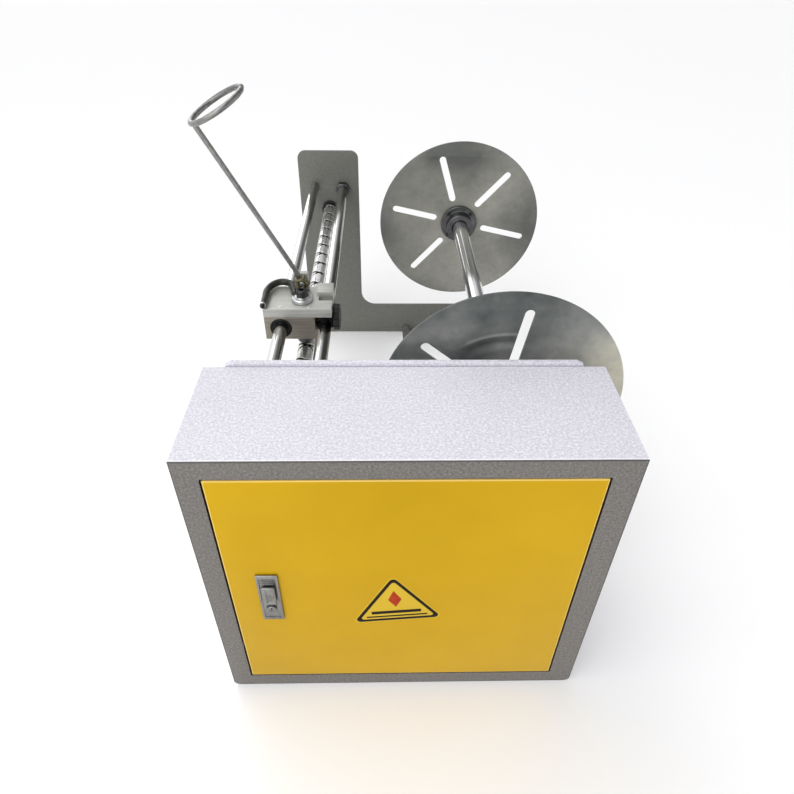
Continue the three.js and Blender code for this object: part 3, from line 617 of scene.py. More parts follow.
def floor():
    work = bmesh.new()
    bmesh.ops.create_grid(work, x_segments=1, y_segments=1, size=12.0)
    material, _, shader, _ = new_material("floor")
    shader.inputs["Base Color"].default_value = (0.93, 0.93, 0.93, 1)
    shader.inputs["Roughness"].default_value = 0.9
    piece = loose(mesh_of(work), "floor")
    piece.location.z = -0.5 * MM
    piece.data.materials.append(material)


def area_light(name, place, target, width, power):
    data = bpy.data.lights.new(name, "AREA")
    data.shape = "RECTANGLE"
    data.size = width
    data.size_y = width * 0.7
    data.energy = power
    piece = loose(data, name)
    piece.location = place
    piece.rotation_euler = (Vector(target) - Vector(place)).to_track_quat("-Z", "Y").to_euler()


# brightness of the surround from left to right, as (direction's X, grey)
SURROUND = [(-1.0, 1.05), (-0.50, 1.25), (-0.42, 2.4), (-0.20, 2.2), (-0.13, 0.85), (0.10, 0.95),
            (0.20, 0.55), (0.36, 0.24), (0.60, 0.26), (1.0, 1.0)]


def studio():
    """A plain white surround, which polished metal sees with a bright left and a dim right.

    Two soft lights add a little shape."""
    world = bpy.data.worlds.new("studio")
    bpy.context.scene.world = world
    world.use_nodes = True
    nodes = world.node_tree.nodes
    add = node_adder(world.node_tree)
    sideways = add("SeparateXYZ", add("TexCoord", output="Generated"))
    stops = [((x + 1) / 2, (grey, grey, grey * 1.01)) for x, grey in SURROUND]
    seen_by_metal = ramp(add, remap(add, sideways, -1.0, 1.0), stops)
    fill(nodes["Background"], Color=seen_by_metal, Strength=1.02)
    backdrop = add("Background", rgba(0.98))
    either = add(
        "MixShader", add("LightPath", output="Is Camera Ray"), nodes["Background"].outputs[0], backdrop)
    feed(nodes["World Output"].inputs["Surface"], either)
    area_light("key", (-0.9, -0.6, 1.9), (0.0, 0.25, 0.3), 1.6, 7.0)
    area_light("fill", (0.2, -1.9, 0.9), (0.0, 0.0, 0.2), 1.4, 5.0)


bpy.context.scene.view_settings.view_transform = "Standard"
camera()
floor()
studio()

# ------------------------------------------------------------------ placing pieces

BODY_OF = {
    node: body
    for body, members in frame["record"]["behaviour"]["bodies"].items()
    for node in members
}


def piece(name, mesh, material, slot, *replaced, body="frame"):
    """Adds a finished mesh that stands for CAD nodes and rides on their body, or on the given one."""
    piece = loose(mesh, name)
    mesh.materials.clear()
    mesh.materials.append(material)
    if replaced:
        body = BODY_OF[replaced[0]]
    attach(piece, body)
    if replaced:
        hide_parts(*replaced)


def stands_for(node, material, slot):
    """Makes a piece with the decorated function's name, from the low and high corners of its node."""
    def build(make):
        piece(make.__name__, make(lo(node), hi(node)), material, slot, node)
        return make

    return build


def repaint(material, *nodes):
    for node in nodes:
        target = frame["nodes"][node]
        target.data.materials.clear()
        target.data.materials.append(material)


# ------------------------------------------------------------------ cabinet

SHEET = 2 * MM
FRAME_SHEET = 1.2 * MM
DOOR_GAP = 1.6 * MM
BOTTOM_CORNER = 7 * MM

shell_lo, shell_hi = lo("enclosure_shell"), hi("enclosure_shell")
door_lo, door_hi = lo("enclosure_door"), hi("enclosure_door")
doorway_lo = door_lo - Vector((DOOR_GAP, 0, DOOR_GAP))
doorway_hi = door_hi + Vector((DOOR_GAP, 0, DOOR_GAP))
spool_axis = centre("spool_shaft")
screw_axis = centre("reciprocating_screw")
rod_axes = [centre(node) for node in ("left_guide_rod", "right_guide_rod", "lower_tie_rod")]

far_back = Vector((0, 1, 0))
# a painted highlight along the shell's front top edge
paint_edge_light_and_shade(SHELL_PAINT, shell_lo, shell_hi + far_back, None, 3.2 * MM, (0.94, 0.94, 0.95))
# a painted shade line round the front face's outer edges
paint_edge_light_and_shade(FRONT_PAINTED_SHADE, shell_lo, shell_hi + far_back, 1.6 * MM, 6 * MM, (0.055, 0.052, 0.052))
# a painted highlight round the door's edges
paint_edge_light_and_shade(DOOR_PAINT, door_lo, door_hi, 1.7 * MM, 1.8 * MM, (0.86, 0.62, 0.20))


def rectangle(low, high, radius, steps=6):
    """A rectangle in X and Z with rounded corners."""
    corners = [(high.x, high.z, 0), (low.x, high.z, 90), (low.x, low.z, 180), (high.x, low.z, 270)]
    points = []
    for x, z, start in corners:
        inward_x = -radius if x == high.x else radius
        inward_z = -radius if z == high.z else radius
        points += arc(x + inward_x, z + inward_z, radius, start, start + 90, steps)
    return points


# the cabinet from the front: a rectangle with two round bottom corners
shell_outline = [
    (shell_hi.x, shell_hi.z), (shell_lo.x, shell_hi.z),
    *arc(shell_lo.x + BOTTOM_CORNER, shell_lo.z + BOTTOM_CORNER, BOTTOM_CORNER, 180, 270, 8),
    *arc(shell_hi.x - BOTTOM_CORNER, shell_lo.z + BOTTOM_CORNER, BOTTOM_CORNER, 270, 360, 8)]


@stands_for("enclosure_shell", SHELL_PAINT, "box_paint")
def cabinet_shell(low, high):
    """Folded sheet box: soft outer edges, open at the doorway, drilled at the back."""
    start = low.y + FRAME_SHEET
    seam = high.y - 1.3 * MM
    body = sheet_plate(shell_outline, [], start, seam - start, 1.0 * MM)
    set_back = Vector((3 * MM, 0, 3 * MM))
    back = block(Vector((low.x, seam - 3 * MM, low.z)) + set_back, high - set_back)
    outside = boolean(body, back, operation="UNION")
    inset = Vector((SHEET, SHEET, SHEET))
    inside = block(low + inset, high - inset - Vector((0, 2 * MM, 0)))
    step = 4 * MM
    doorway = block(
        (doorway_lo.x - step, low.y - PAST, doorway_lo.z - step),
        (doorway_hi.x + step, low.y + PAST, doorway_hi.z + step))
    wall = through(high.y)
    holes = [drill(16.5 * MM, spool_axis, *wall), drill(11.5 * MM, screw_axis, *wall)]
    holes += [drill(4.3 * MM, axis, *wall, "Y", 24) for axis in rod_axes]
    holes.append(drill(8.3 * MM, centre("cable_gland"), -PAST, PAST, "Z", 32))
    return boolean(boolean(outside, inside, doorway), *holes)


# the face round the door is flat sheet with crisp rounded corners at the doorway
doorway_outline = rectangle(doorway_lo, doorway_hi, 1.2 * MM)
front_frame = sheet_plate(shell_outline, [doorway_outline], shell_lo.y, FRAME_SHEET)
# its dark grey is painted shade on the box paint
piece("cabinet_front_frame", front_frame, FRONT_PAINTED_SHADE, "box_paint")


def hinge_pin(node, direction):
    """A pin on a bent tab; direction is +1 for the pin that points up."""
    low, high = lo(node), hi(node)
    edge = doorway_lo.z if direction > 0 else doorway_hi.z
    tip, root = (high.z, low.z) if direction > 0 else (low.z, high.z)
    tab_z = sorted((edge + direction * 0.6 * MM, root))
    tab = soft_block((low.x, low.y, tab_z[0]), (high.x, high.y, tab_z[1]))
    at = (centre(node).x, door_lo.y + 5 * MM, 0)
    return merged(tab, bar(2.5 * MM, *sorted((edge, tip)), at, "Z", 24, 0.5 * MM))


piece("hinge_pin_bottom", hinge_pin("hinge_pin_lower", 1), ZINC, "zinc", "hinge_pin_lower")
piece("hinge_pin_top", hinge_pin("hinge_pin_upper", -1), ZINC, "zinc", "hinge_pin_upper")


# ------------------------------------------------------------------ door, label and lock

@stands_for("enclosure_door", DOOR_PAINT, "door_paint")
def door_panel(low, high):
    """A pressed tray: the face turns back all round, with holes for pins and lock."""
    wall = 1.5 * MM
    inset = Vector((wall, wall, wall))
    hollow = block(low + inset, high - inset + Vector((0, PAST, 0)))
    pin_at = (centre("hinge_pin_lower").x, low.y + 5 * MM, 0)
    tools = [drill(2.9 * MM, pin_at, z - 4 * MM, z + 4 * MM, "Z", 24) for z in (low.z, high.z)]
    tools += [
        drill(6 * MM, centre(node), *through(low.y)) for node in ("lock_handle", "key_cylinder")]
    return boolean(boolean(soft_block(low, high, 1.3 * MM, 5), hollow), *tools)


# the sticker's corners on the door; it was stuck on slightly askew
LABEL_LEFT = Vector((-56.0, 129.5)) * MM
LABEL_RIGHT = Vector((41.0, 139.5)) * MM
LABEL_APEX = Vector((-13.7, 213.0)) * MM
LABEL_FILM = 0.12 * MM


def rounded_triangle(inset, corner):
    """The label's triangle, drawn inwards from its edge, with round corners."""
    corners = [LABEL_LEFT, LABEL_RIGHT, LABEL_APEX]
    points = []
    for i, here in enumerate(corners):
        before = (corners[i - 1] - here).normalized()
        after = (corners[(i + 1) % 3] - here).normalized()
        bisector = (before + after).normalized()
        half = before.angle(after) / 2
        hub = here + bisector * ((inset + corner) / math.sin(half))
        start = math.degrees(math.atan2(-bisector.y, -bisector.x)) - 90 + math.degrees(half)
        points += arc(hub.x, hub.y, corner, start, start + 180 - 2 * math.degrees(half), 10)
    return points


def on_label(points):
    """Points in mm from the middle of the label's base, in its own turned axes, on the door."""
    across = (LABEL_RIGHT - LABEL_LEFT).normalized()
    up = Vector((-across.y, across.x))
    base = (LABEL_LEFT + LABEL_RIGHT) / 2
    return [base + across * x * MM + up * z * MM for x, z in points]


def label_print(outline, *holes, layer=2):
    return sheet_plate(outline, holes, door_lo.y - layer * LABEL_FILM, LABEL_FILM, 0.02 * MM)


def label():
    """A plain triangular sticker: dark border and two stripes on yellow, with a red lozenge."""
    backing = label_print(rounded_triangle(0, 5 * MM), layer=1)
    piece("label_backing", backing, LABEL_YELLOW, "door_paint", body="door")
    border = label_print(rounded_triangle(1.2 * MM, 4.4 * MM), rounded_triangle(4.9 * MM, 2.8 * MM))
    stripes = [
        label_print(on_label([(-half, low), (half, low), (half, high), (-half, high)]))
        for half, low, high in ((32, 7.6, 10), (26, 13.5, 18.5))]
    piece("label_border", merged(border, *stripes), LABEL_BLACK, "black_plastic", body="door")
    mark = label_print(on_label([(0.5, 25), (7.5, 38), (0.5, 53), (-6.5, 38)]))
    piece("label_mark", mark, LABEL_RED, "door_paint", body="door")


label()

lock_x = centre("lock_plate").x
handle_z, key_z = centre("lock_handle").z, centre("key_cylinder").z


@stands_for("lock_plate", LOCK_METAL, "zinc")
def lock_surround(low, high):
    """A stamped surround: raised rim, sunk panel, and holes for the paddle and key."""
    sunk = soft_block(
        (low.x + 2.6 * MM, low.y - PAST, low.z + 4.5 * MM),
        (high.x - 2.6 * MM, low.y + 1.1 * MM, high.z - 4.5 * MM), 0.5 * MM, 2)
    plate = boolean(soft_block(low, high, 1.1 * MM, 4), sunk)
    holes = [drill(5.4 * MM, (lock_x, 0, z), *through(low.y, high.y)) for z in (handle_z, key_z)]
    ribs = [
        soft_block(
            (lock_x - 6 * MM, low.y + 0.2 * MM, high.z - drop),
            (lock_x + 6 * MM, low.y + 1.3 * MM, high.z - drop + 1.6 * MM), 0.4 * MM, 2)
        for drop in (8.2 * MM, 11.6 * MM, 15 * MM)]
    return merged(boolean(plate, *holes), *ribs)


@stands_for("lock_handle", LOCK_METAL, "zinc")
def lock_paddle(low, high):
    """The turning paddle, with a thumb hollow, on its spindle."""
    front, back = low.y, low.y + 3.2 * MM
    paddle = soft_block(low, (high.x, back, high.z), 1.3 * MM, 4)
    x = (low.x + high.x) / 2
    scoop = bar(3.4 * MM, low.z + 4 * MM, low.z + 20 * MM, (x, front - 2.2 * MM, 0), "Z", 32, 1.6 * MM)
    spindle = bar(5 * MM, back - 0.5 * MM, high.y, (x, 0, handle_z), "Y", 40)
    return merged(boolean(paddle, scoop), spindle)


@stands_for("key_cylinder", LOCK_METAL, "zinc")
def lock_key_barrel(low, high):
    x = (low.x + high.x) / 2
    front = low.y
    barrel = revolve([
        (0, front + 0.5 * MM), (3.3 * MM, front + 0.5 * MM), (3.5 * MM, front), (4.4 * MM, front),
        (5 * MM, front + 0.6 * MM), (5 * MM, high.y - 3 * MM), (0, high.y - 3 * MM)], (x, 0, key_z), "Y", 48)
    slot = block(
        (x - 0.5 * MM, front - 1 * MM, key_z - 2.6 * MM), (x + 0.5 * MM, front + 3 * MM, key_z + 2.6 * MM))
    blade = soft_block(
        (x - 0.8 * MM, high.y - 4 * MM, key_z - 4 * MM), (x + 0.8 * MM, high.y, key_z + 4 * MM), 0.3 * MM)
    return merged(boolean(barrel, slot), blade)


@stands_for("lock_cam", ZINC, "zinc")
def lock_tongue(low, high):
    radius = (high.x - low.x) / 2
    x = (low.x + high.x) / 2
    outline = arc(x, high.z - radius, radius, 0, 180, 12) + arc(x, low.z + radius, radius, 180, 360, 12)
    return sheet_plate(outline, [], low.y, high.y - low.y, 0.5 * MM)


# ------------------------------------------------------------------ plates, rods and bolts

rod_holes = [circle(axis, 4.3 * MM, 24) for axis in rod_axes]
screw_hole = circle(screw_axis, 15.3 * MM, 48)


@stands_for("rear_plate", BOX_PAINT, "box_paint")
def rear_mounting_plate(low, high):
    across, down = 6 * MM, 3 * MM
    outline = [
        (low.x, low.z), (high.x, low.z), (high.x, high.z - down), (high.x - across, high.z),
        (low.x + across, high.z), (low.x, high.z - down)]
    holes = [*rod_holes, circle(spool_axis, 15.5 * MM, 48), screw_hole]
    return sheet_plate(outline, holes, low.y, high.y - low.y, 0.7 * MM)


@stands_for("end_plate", PLATE_PAINT, "plate_steel")
def end_plate_sheet(low, high):
    """L-shaped plate: an upright leg on the left and a foot along the ground."""
    leg_right, foot_top = -67 * MM, 67 * MM
    fillet, corner = 28 * MM, 14 * MM
    outline = [(low.x, low.z), (high.x, low.z)]
    outline += arc(high.x - corner, foot_top - corner, corner, 0, 90, 10)
    outline += arc(leg_right + fillet, foot_top + fillet, fillet, 270, 180, 14)
    outline += arc(leg_right - corner, high.z - corner, corner, 0, 90, 10)
    outline += arc(low.x + corner, high.z - corner, corner, 90, 180, 10)
    return sheet_plate(outline, [*rod_holes, screw_hole], low.y, high.y - low.y, 0.6 * MM)


def shaft(node, segments, chamfer):
    """A round bar in Y that fills a node's box."""
    return bar(size(node).x / 2, lo(node).y, hi(node).y, centre(node), "Y", segments, chamfer)


def rod_bolt(node, direction):
    """Hexagon-head bolt with its shank; direction is +1 when the head points to +Y."""
    head = 5.3 * MM
    tip = hi(node).y if direction > 0 else lo(node).y
    seat = tip - direction * head
    shank = sorted((seat + direction * 1 * MM, seat - direction * 7 * MM))
    return merged(
        hexagon_head(7.5 * MM, seat, tip, centre(node)),
        bar(4 * MM, *shank, centre(node), "Y", 24, 0.4 * MM))


def chrome_with_painted_dark_side(rod, painted_dark_side_tone, strength):
    """Chrome with a painted reflection of a dim surround, dark on the rod's right-hand side."""
    material = metal(f"{rod}_chrome", 0.58, (0.78, 0.78, 0.77), (0.09, 0.19), ALONG_Y, 240, 0.03)
    add = node_adder(material.node_tree)
    sideways = add("SeparateXYZ", add("TexCoord", output="Object"))
    radius, middle = size(rod).x / 2, centre(rod).x
    # painted reflection: the rod's right-hand side is darkened towards the given tone
    tint(material, painted_dark_side_tone, remap(
        add, sideways, middle - radius * 0.15, middle + radius * 0.55, 0.0, strength, soft=True))
    return material


ROD_FINISH = {
    # painted dark right-hand sides: a grey one on the left rod, a dark brown one on the right rod
    "left_guide_rod": chrome_with_painted_dark_side("left_guide_rod", (0.20, 0.21, 0.19), 0.75),
    "right_guide_rod": chrome_with_painted_dark_side("right_guide_rod", (0.085, 0.070, 0.055), 0.9),
    "lower_tie_rod": CHROME,
}
for rod, finish in ROD_FINISH.items():
    piece(f"{rod}_bar", shaft(rod, 64, 1.0 * MM), finish, "chrome", rod)
    piece(f"{rod}_end_screw", rod_bolt(f"{rod}_end_bolt", 1), ZINC, "zinc", f"{rod}_end_bolt")
    piece(f"{rod}_box_screw", rod_bolt(f"{rod}_box_bolt", -1), ZINC, "zinc", f"{rod}_box_bolt")


@stands_for("right_rod_nut", HUB_STEEL, "dark_steel")
def right_rod_lock_nut(low, high):
    middle = (low + high) / 2
    blank = hexagon_head(13 * MM, high.y, low.y, middle)
    return boolean(blank, drill(9.3 * MM, middle, *through(low.y, high.y), "Y", 64))


# bolts that hold the mounting plate to the cabinet's back, as (x, z) in mm
PLATE_BOLTS = [(-164, 26), (164, 26), (-164, 352), (164, 352), (-20, 352), (-20, 190)]
plate_back = hi("rear_plate").y
bolt_places = [(x * MM, 0, z * MM) for x, z in PLATE_BOLTS]
heads = [hexagon_head(6.5 * MM, plate_back, plate_back + 4 * MM, at) for at in bolt_places]
washers = [
    bar(8.5 * MM, plate_back - 0.2 * MM, plate_back + 1.2 * MM, at, "Y", 32, 0.3 * MM) for at in bolt_places]
piece("mounting_plate_bolts", merged(*heads, *washers), ZINC, "zinc")


# ------------------------------------------------------------------ reversing screw

GROOVE_PITCH = 33 * MM
GROOVE_WIDTH = 4.6 * MM
GROOVE_DEPTH = 1.8 * MM
GROOVE_CROSSING = math.radians(77)
screw_radius = size("reciprocating_screw").x / 2
groove_start, groove_end = hi("rear_plate").y + 6 * MM, lo("end_plate").y - 6 * MM


def groove_depth(angle, station):
    """Depth of the crossed helical grooves at a point of the screw's surface."""
    turn = (angle - GROOVE_CROSSING) / (2 * math.pi)
    deepest = 0.0
    for hand in (1, -1):
        phase = station / GROOVE_PITCH - hand * turn
        away = abs(phase - round(phase)) * GROOVE_PITCH
        if away < GROOVE_WIDTH / 2:
            deepest = max(deepest, 1 - (away / (GROOVE_WIDTH / 2)) ** 4)
    return deepest * GROOVE_DEPTH


def grooved_screw():
    """A shaft with left and right helical grooves that cross, on plain journals."""
    low, high = lo("reciprocating_screw"), hi("reciprocating_screw")
    journal, around, row = 7.5 * MM, 72, 0.75 * MM
    rows = round((groove_end - groove_start) / row)
    rings = []
    for j in range(rows + 1):
        station = groove_start + (groove_end - groove_start) * j / rows
        trim = (0.9 * MM, 0.35 * MM, 0)[min(j, rows - j, 2)]
        rings.append([
            round_y(screw_axis, screw_radius - trim - groove_depth(turn, station), turn, station)
            for turn in turns(around)])
    return merged(
        skinned(rings, 28),
        bar(journal, low.y, groove_start + 1 * MM, screw_axis, "Y", 40),
        bar(journal, groove_end - 1 * MM, high.y, screw_axis, "Y", 40))


def mark_depth(mesh):
    """Stores on each vertex 0 on the screw's outer surface, rising soon to 1 in the grooves."""
    depth = mesh.attributes.new("groove_depth", "FLOAT", "POINT")
    for vertex, value in zip(mesh.vertices, depth.data):
        away = math.hypot(vertex.co.x - screw_axis.x, vertex.co.z - screw_axis.z)
        inside = groove_start < vertex.co.y < groove_end
        value.value = min(1.0, max(0.0, 4 * (screw_radius - away) / GROOVE_DEPTH)) if inside else 0.0
    return mesh


def darken_grooves(material):
    """Painted shade in the grooves: dark and dull with depth."""
    add = node_adder(material.node_tree)
    depth = add("Attribute", attribute_name="groove_depth", output="Fac")
    # painted shade, darkest where the grooves are deepest
    tint(material, (0.012, 0.011, 0.009), depth)
    rough = main_shader(material).inputs["Roughness"]
    feed(rough, add("Mix", data_type="FLOAT", Factor=depth, A=rough.links[0].from_socket, B=0.7))


darken_grooves(SCREW_STEEL)
piece("reversing_screw", mark_depth(grooved_screw()), SCREW_STEEL, "chrome", "reciprocating_screw")


def bearing(node, name, inner, outer, axis, material, slot):
    """Ball bearing: steel races with a sunk dark shield between them."""
    low, high = lo(node), hi(node)
    wall = (outer - inner) * 0.27
    races = merged(
        ring(inner, inner + wall, low.y, high.y, axis, chamfer=0.4 * MM),
        ring(outer - wall, outer, low.y, high.y, axis, chamfer=0.4 * MM))
    sunk, lap = 0.7 * MM, 0.1 * MM
    shield = ring(
        inner + wall - lap, outer - wall + lap, low.y + sunk, high.y - sunk, axis, chamfer=0.2 * MM)
    piece(f"{name}_bearing_races", races, material, slot, node)
    piece(f"{name}_bearing_shield", shield, BLACK, "black_plastic")


for node, name in (("screw_box_bearing", "screw_front"), ("screw_end_bearing", "screw_back")):
    bearing(node, name, 7.8 * MM, 15 * MM, screw_axis, BLACK_OXIDE, "dark_steel")


# ------------------------------------------------------------------ spool

SLOTS = 6
SLOT_WIDTH = 10.5 * MM
SLOT_INNER = 40 * MM
SLOT_OUTER = 118 * MM
SHAFT_BORE = 12.8 * MM


def slotted_disc(node, first_slot):
    low, high = lo(node), hi(node)
    middle = centre(node)
    half = SLOT_WIDTH / 2
    inner, outer = (
        spaced_round(middle, radius, SLOTS, first_slot) for radius in (SLOT_INNER + half, SLOT_OUTER - half))
    holes = [circle(middle, SHAFT_BORE, 48)]
    for i in range(SLOTS):
        angle = first_slot + i * 360 / SLOTS
        holes.append(
            arc(outer[i].x, outer[i].z, half, angle - 90, angle + 90, 10)
            + arc(inner[i].x, inner[i].z, half, angle + 90, angle + 270, 10))
    return sheet_plate(circle(middle, (high.x - low.x) / 2, 160), holes, low.y, high.y - low.y, 0.35 * MM)


piece("near_disc", slotted_disc("near_flange", 20.8), NEAR_DISC, "galvanised", "near_flange")
piece("far_disc_plate", slotted_disc("far_flange", 47.3), GALVANISED, "galvanised", "far_flange")


def clamp_hub(node):
    """Turned hub: a wide foot against the disc and a narrower neck, all edges broken."""
    low, high = lo(node), hi(node)
    bore, neck, foot = SHAFT_BORE, 22 * MM, (high.x - low.x) / 2
    step = high.y - 6 * MM
    edge = 1.0 * MM
    profile = [
        (bore, low.y + edge), (bore + edge, low.y), (neck - edge, low.y), (neck, low.y + edge),
        (neck, step - 1.5 * MM), (neck + 0.5 * MM, step - 0.5 * MM), (neck + 1.5 * MM, step),
        (foot - edge, step), (foot, step + edge), (foot, high.y - 0.4 * MM), (foot - 0.4 * MM, high.y),
        (bore, high.y)]
    return revolve(profile, spool_axis, "Y", 72, True)


def four_screws(radius, reach, start, end):
    """Four socket screws round the spool's axis."""
    return merged(*[socket_head(radius, start, end, at) for at in spaced_round(spool_axis, reach, 4, 45)])


for side, body in (("near", "spool"), ("far", "far_disc")):
    piece(f"{side}_hub_body", clamp_hub(f"{side}_hub"), HUB_STEEL, "dark_steel", f"{side}_hub")
    foot = hi(f"{side}_hub").y - 6 * MM
    screws = four_screws(3 * MM, 26.8 * MM, foot + 0.2 * MM, foot - 2.4 * MM)
    piece(f"{side}_hub_screws", screws, BLACK_OXIDE, "dark_steel", body=body)

piece("spool_bar", shaft("spool_shaft", 72, 1.2 * MM), CHROME, "chrome", "spool_shaft")


@stands_for("far_set_screw", BLACK_OXIDE, "dark_steel")
def far_hub_grub_screw(low, high):
    return socket_head(3 * MM, low.z, high.z, (low + high) / 2, "Z")


def bearing_flange(node, direction):
    """Flanged bearing housing; direction is +1 when its boss points to +Y."""
    low, high = lo(node), hi(node)
    seat = low.y if direction > 0 else high.y
    race, outer, boss = 26.3 * MM, (high.x - low.x) / 2, 32 * MM
    edge = 1.0 * MM
    shoulder = seat + direction * 6 * MM
    face = seat + direction * 12 * MM
    profile = [
        (race, seat), (outer - 0.3 * MM, seat), (outer, seat + direction * 0.3 * MM),
        (outer, shoulder - direction * edge), (outer - edge, shoulder), (boss + 1.5 * MM, shoulder),
        (boss, shoulder + direction * 1.5 * MM), (boss, face - direction * edge), (boss - edge, face),
        (race + 0.5 * MM, face), (race, face - direction * 0.5 * MM)]
    screws = four_screws(
        2.9 * MM, 36 * MM, shoulder - direction * 0.2 * MM, shoulder + direction * 3 * MM)
    return revolve(profile, spool_axis, "Y", 72, True), screws


for name, direction in (("outer", 1), ("inner", -1)):
    body, screws = bearing_flange(f"{name}_bearing_housing", direction)
    piece(f"{name}_housing", body, HUB_STEEL, "dark_steel", f"{name}_bearing_housing")
    piece(f"{name}_housing_screws", screws, BLACK_OXIDE, "dark_steel")
    bearing(f"{name}_bearing", name, SHAFT_BORE, 26 * MM, spool_axis, ZINC, "zinc")


# ------------------------------------------------------------------ drive inside the cabinet

WHEEL_HALF = 5.8 * MM
DRIVE_PLANE = centre("drive_belt").y
TRAVERSE_PLANE = centre("traverse_belt").y
motor_axis = centre("motor")


def toothed_wheel(bore, radius, plane, at, teeth):
    """A timing pulley: a toothed drum between two thin side plates."""
    depth, side, rim = 1.4 * MM, 1.6 * MM, 3.5 * MM
    reaches = [radius, radius, radius - depth, radius - depth] * teeth
    drum = [
        [round_y(at, reach, turn, y) for reach, turn in zip(reaches, turns(teeth * 4))]
        for y in (plane - WHEEL_HALF, plane + WHEEL_HALF)]
    bored = boolean(skinned(drum), drill(bore, at, plane - 2 * PAST, plane + 2 * PAST, "Y", 48))
    return [bored] + [
        ring(bore, radius + rim, start, start + side, at, chamfer=0.5 * MM)
        for start in (plane - WHEEL_HALF - side, plane + WHEEL_HALF)]


spool_wheels = merged(
    *toothed_wheel(SHAFT_BORE, 34 * MM, DRIVE_PLANE, spool_axis, 42),
    *toothed_wheel(SHAFT_BORE, 22 * MM, TRAVERSE_PLANE, spool_axis, 27),
    ring(SHAFT_BORE, 18 * MM, DRIVE_PLANE + 7 * MM, TRAVERSE_PLANE - 7 * MM, spool_axis, "Y", 48))
screw_wheel = merged(*toothed_wheel(7.8 * MM, 33 * MM, TRAVERSE_PLANE, screw_axis, 41))
motor_wheel = merged(
    *toothed_wheel(6 * MM, 20 * MM, DRIVE_PLANE, motor_axis, 25),
    bar(7 * MM, DRIVE_PLANE - 6 * MM, hi("motor_pulley").y, motor_axis, "Y", 40))
piece("spool_double_pulley", spool_wheels, ALUMINIUM, "aluminium", "spool_pulley")
piece("screw_timing_pulley", screw_wheel, ALUMINIUM, "aluminium", "screw_pulley")
piece("motor_timing_pulley", motor_wheel, ALUMINIUM, "aluminium", "motor_pulley")
repaint(RUBBER, "drive_belt", "traverse_belt")


@stands_for("motor", MOTOR_PAINT, "motor_paint")
def motor_barrel(low, high):
    """Motor barrel with a seam ring, an end bell and a ventilated cap."""
    radius = (high.x - low.x) / 2
    profile = [
        (0, low.y), (radius - 1 * MM, low.y), (radius, low.y + 1 * MM), (radius, low.y + 10 * MM),
        (radius - 1.2 * MM, low.y + 10.8 * MM), (radius - 1.2 * MM, high.y - 15 * MM),
        (radius, high.y - 14 * MM), (radius, high.y - 4 * MM), (radius - 4 * MM, high.y),
        (radius * 0.45, high.y), (radius * 0.42, high.y - 1.5 * MM), (0, high.y - 1.5 * MM)]
    vents = [
        drill(2.6 * MM, at, high.y - 3 * MM, high.y + PAST, "Y", 20)
        for at in spaced_round(motor_axis, radius * 0.68, 10)]
    return boolean(revolve(profile, motor_axis, "Y", 72), *vents)


@stands_for("gearbox", MOTOR_PAINT, "motor_paint")
def motor_gear_case(low, high):
    bored = boolean(soft_block(low, high, 2.5 * MM, 4), drill(7.6 * MM, motor_axis, *through(low.y)))
    reach = (high.x - low.x) / 2 - 7 * MM
    screws = [
        socket_head(3.2 * MM, high.y - 1 * MM, high.y + 0.2 * MM, motor_axis + Vector((i, 0, k)) * reach)
        for i in (-1, 1) for k in (-1, 1)]
    return merged(bored, *screws)


@stands_for("motor_bracket", ZINC, "zinc")
def motor_bracket_bent(low, high):
    plate = 3.5 * MM
    upright = soft_block(low, (high.x, low.y + plate, high.z))
    base = soft_block(low, (high.x, high.y, low.z + plate))
    joined = boolean(upright, base, operation="UNION")
    return boolean(joined, drill(10 * MM, motor_axis, *through(low.y)))


@stands_for("speed_controller", CASE_BLUE, "controller_case")
def speed_controller_case(low, high):
    """Speed controller: finned case with a cover panel."""
    fins = [low.x + 10 * MM + i * 7 * MM for i in range(9)]
    grooves = [
        block((x, low.y - PAST, low.z + 62 * MM), (x + 3 * MM, low.y + 5 * MM, high.z - 8 * MM))
        for x in fins]
    panel = block(
        (low.x + 8 * MM, low.y - PAST, low.z + 10 * MM),
        (high.x - 8 * MM, low.y + 0.8 * MM, low.z + 52 * MM))
    return boolean(soft_block(low, high, 2 * MM, 4), *grooves, panel)


def terminal_block(ways=8):
    """Terminal strip: a row of chambers, each with a brass screw."""
    low, high = lo("terminal_strip"), hi("terminal_strip")
    width = (high.x - low.x) / ways
    middles = [low.x + width * (i + 0.5) for i in range(ways)]
    chambers = [
        block((x - width * 0.36, low.y - PAST, low.z + 5 * MM),
              (x + width * 0.36, low.y + 4 * MM, high.z - 5 * MM)) for x in middles]
    screws = [
        socket_head(3 * MM, low.y + 4.2 * MM, low.y + 1.4 * MM, (x, 0, (low.z + high.z) / 2))
        for x in middles]
    return boolean(soft_block(low, high, 1 * MM), *chambers), merged(*screws)


terminal_body, terminal_screws = terminal_block()
piece("terminal_body", terminal_body, TERMINAL, "terminal_green", "terminal_strip")
piece("terminal_screws", terminal_screws, BRASS, "zinc")


@stands_for("cable_gland", BLACK, "black_plastic")
def cable_gland_body(low, high):
    at = (low + high) / 2
    collar = hexagon_head(12 * MM, 2.3 * MM, 9 * MM, at, "Z")
    thread = bar(8 * MM, low.z, high.z, at, "Z", 40, 1 * MM)
    return boolean(boolean(collar, thread, operation="UNION"), drill(4 * MM, at, -PAST, 3 * PAST, "Z", 32))


# ------------------------------------------------------------------ carriage

plate_hi = hi("carriage_plate")
PLATE_TOP = lo("release_lever").z - 0.3 * MM
LEVER_WIRE = 4.3 * MM
PAWL_BORE = 4.8 * MM
pawl_axis = centre("pawl_housing")


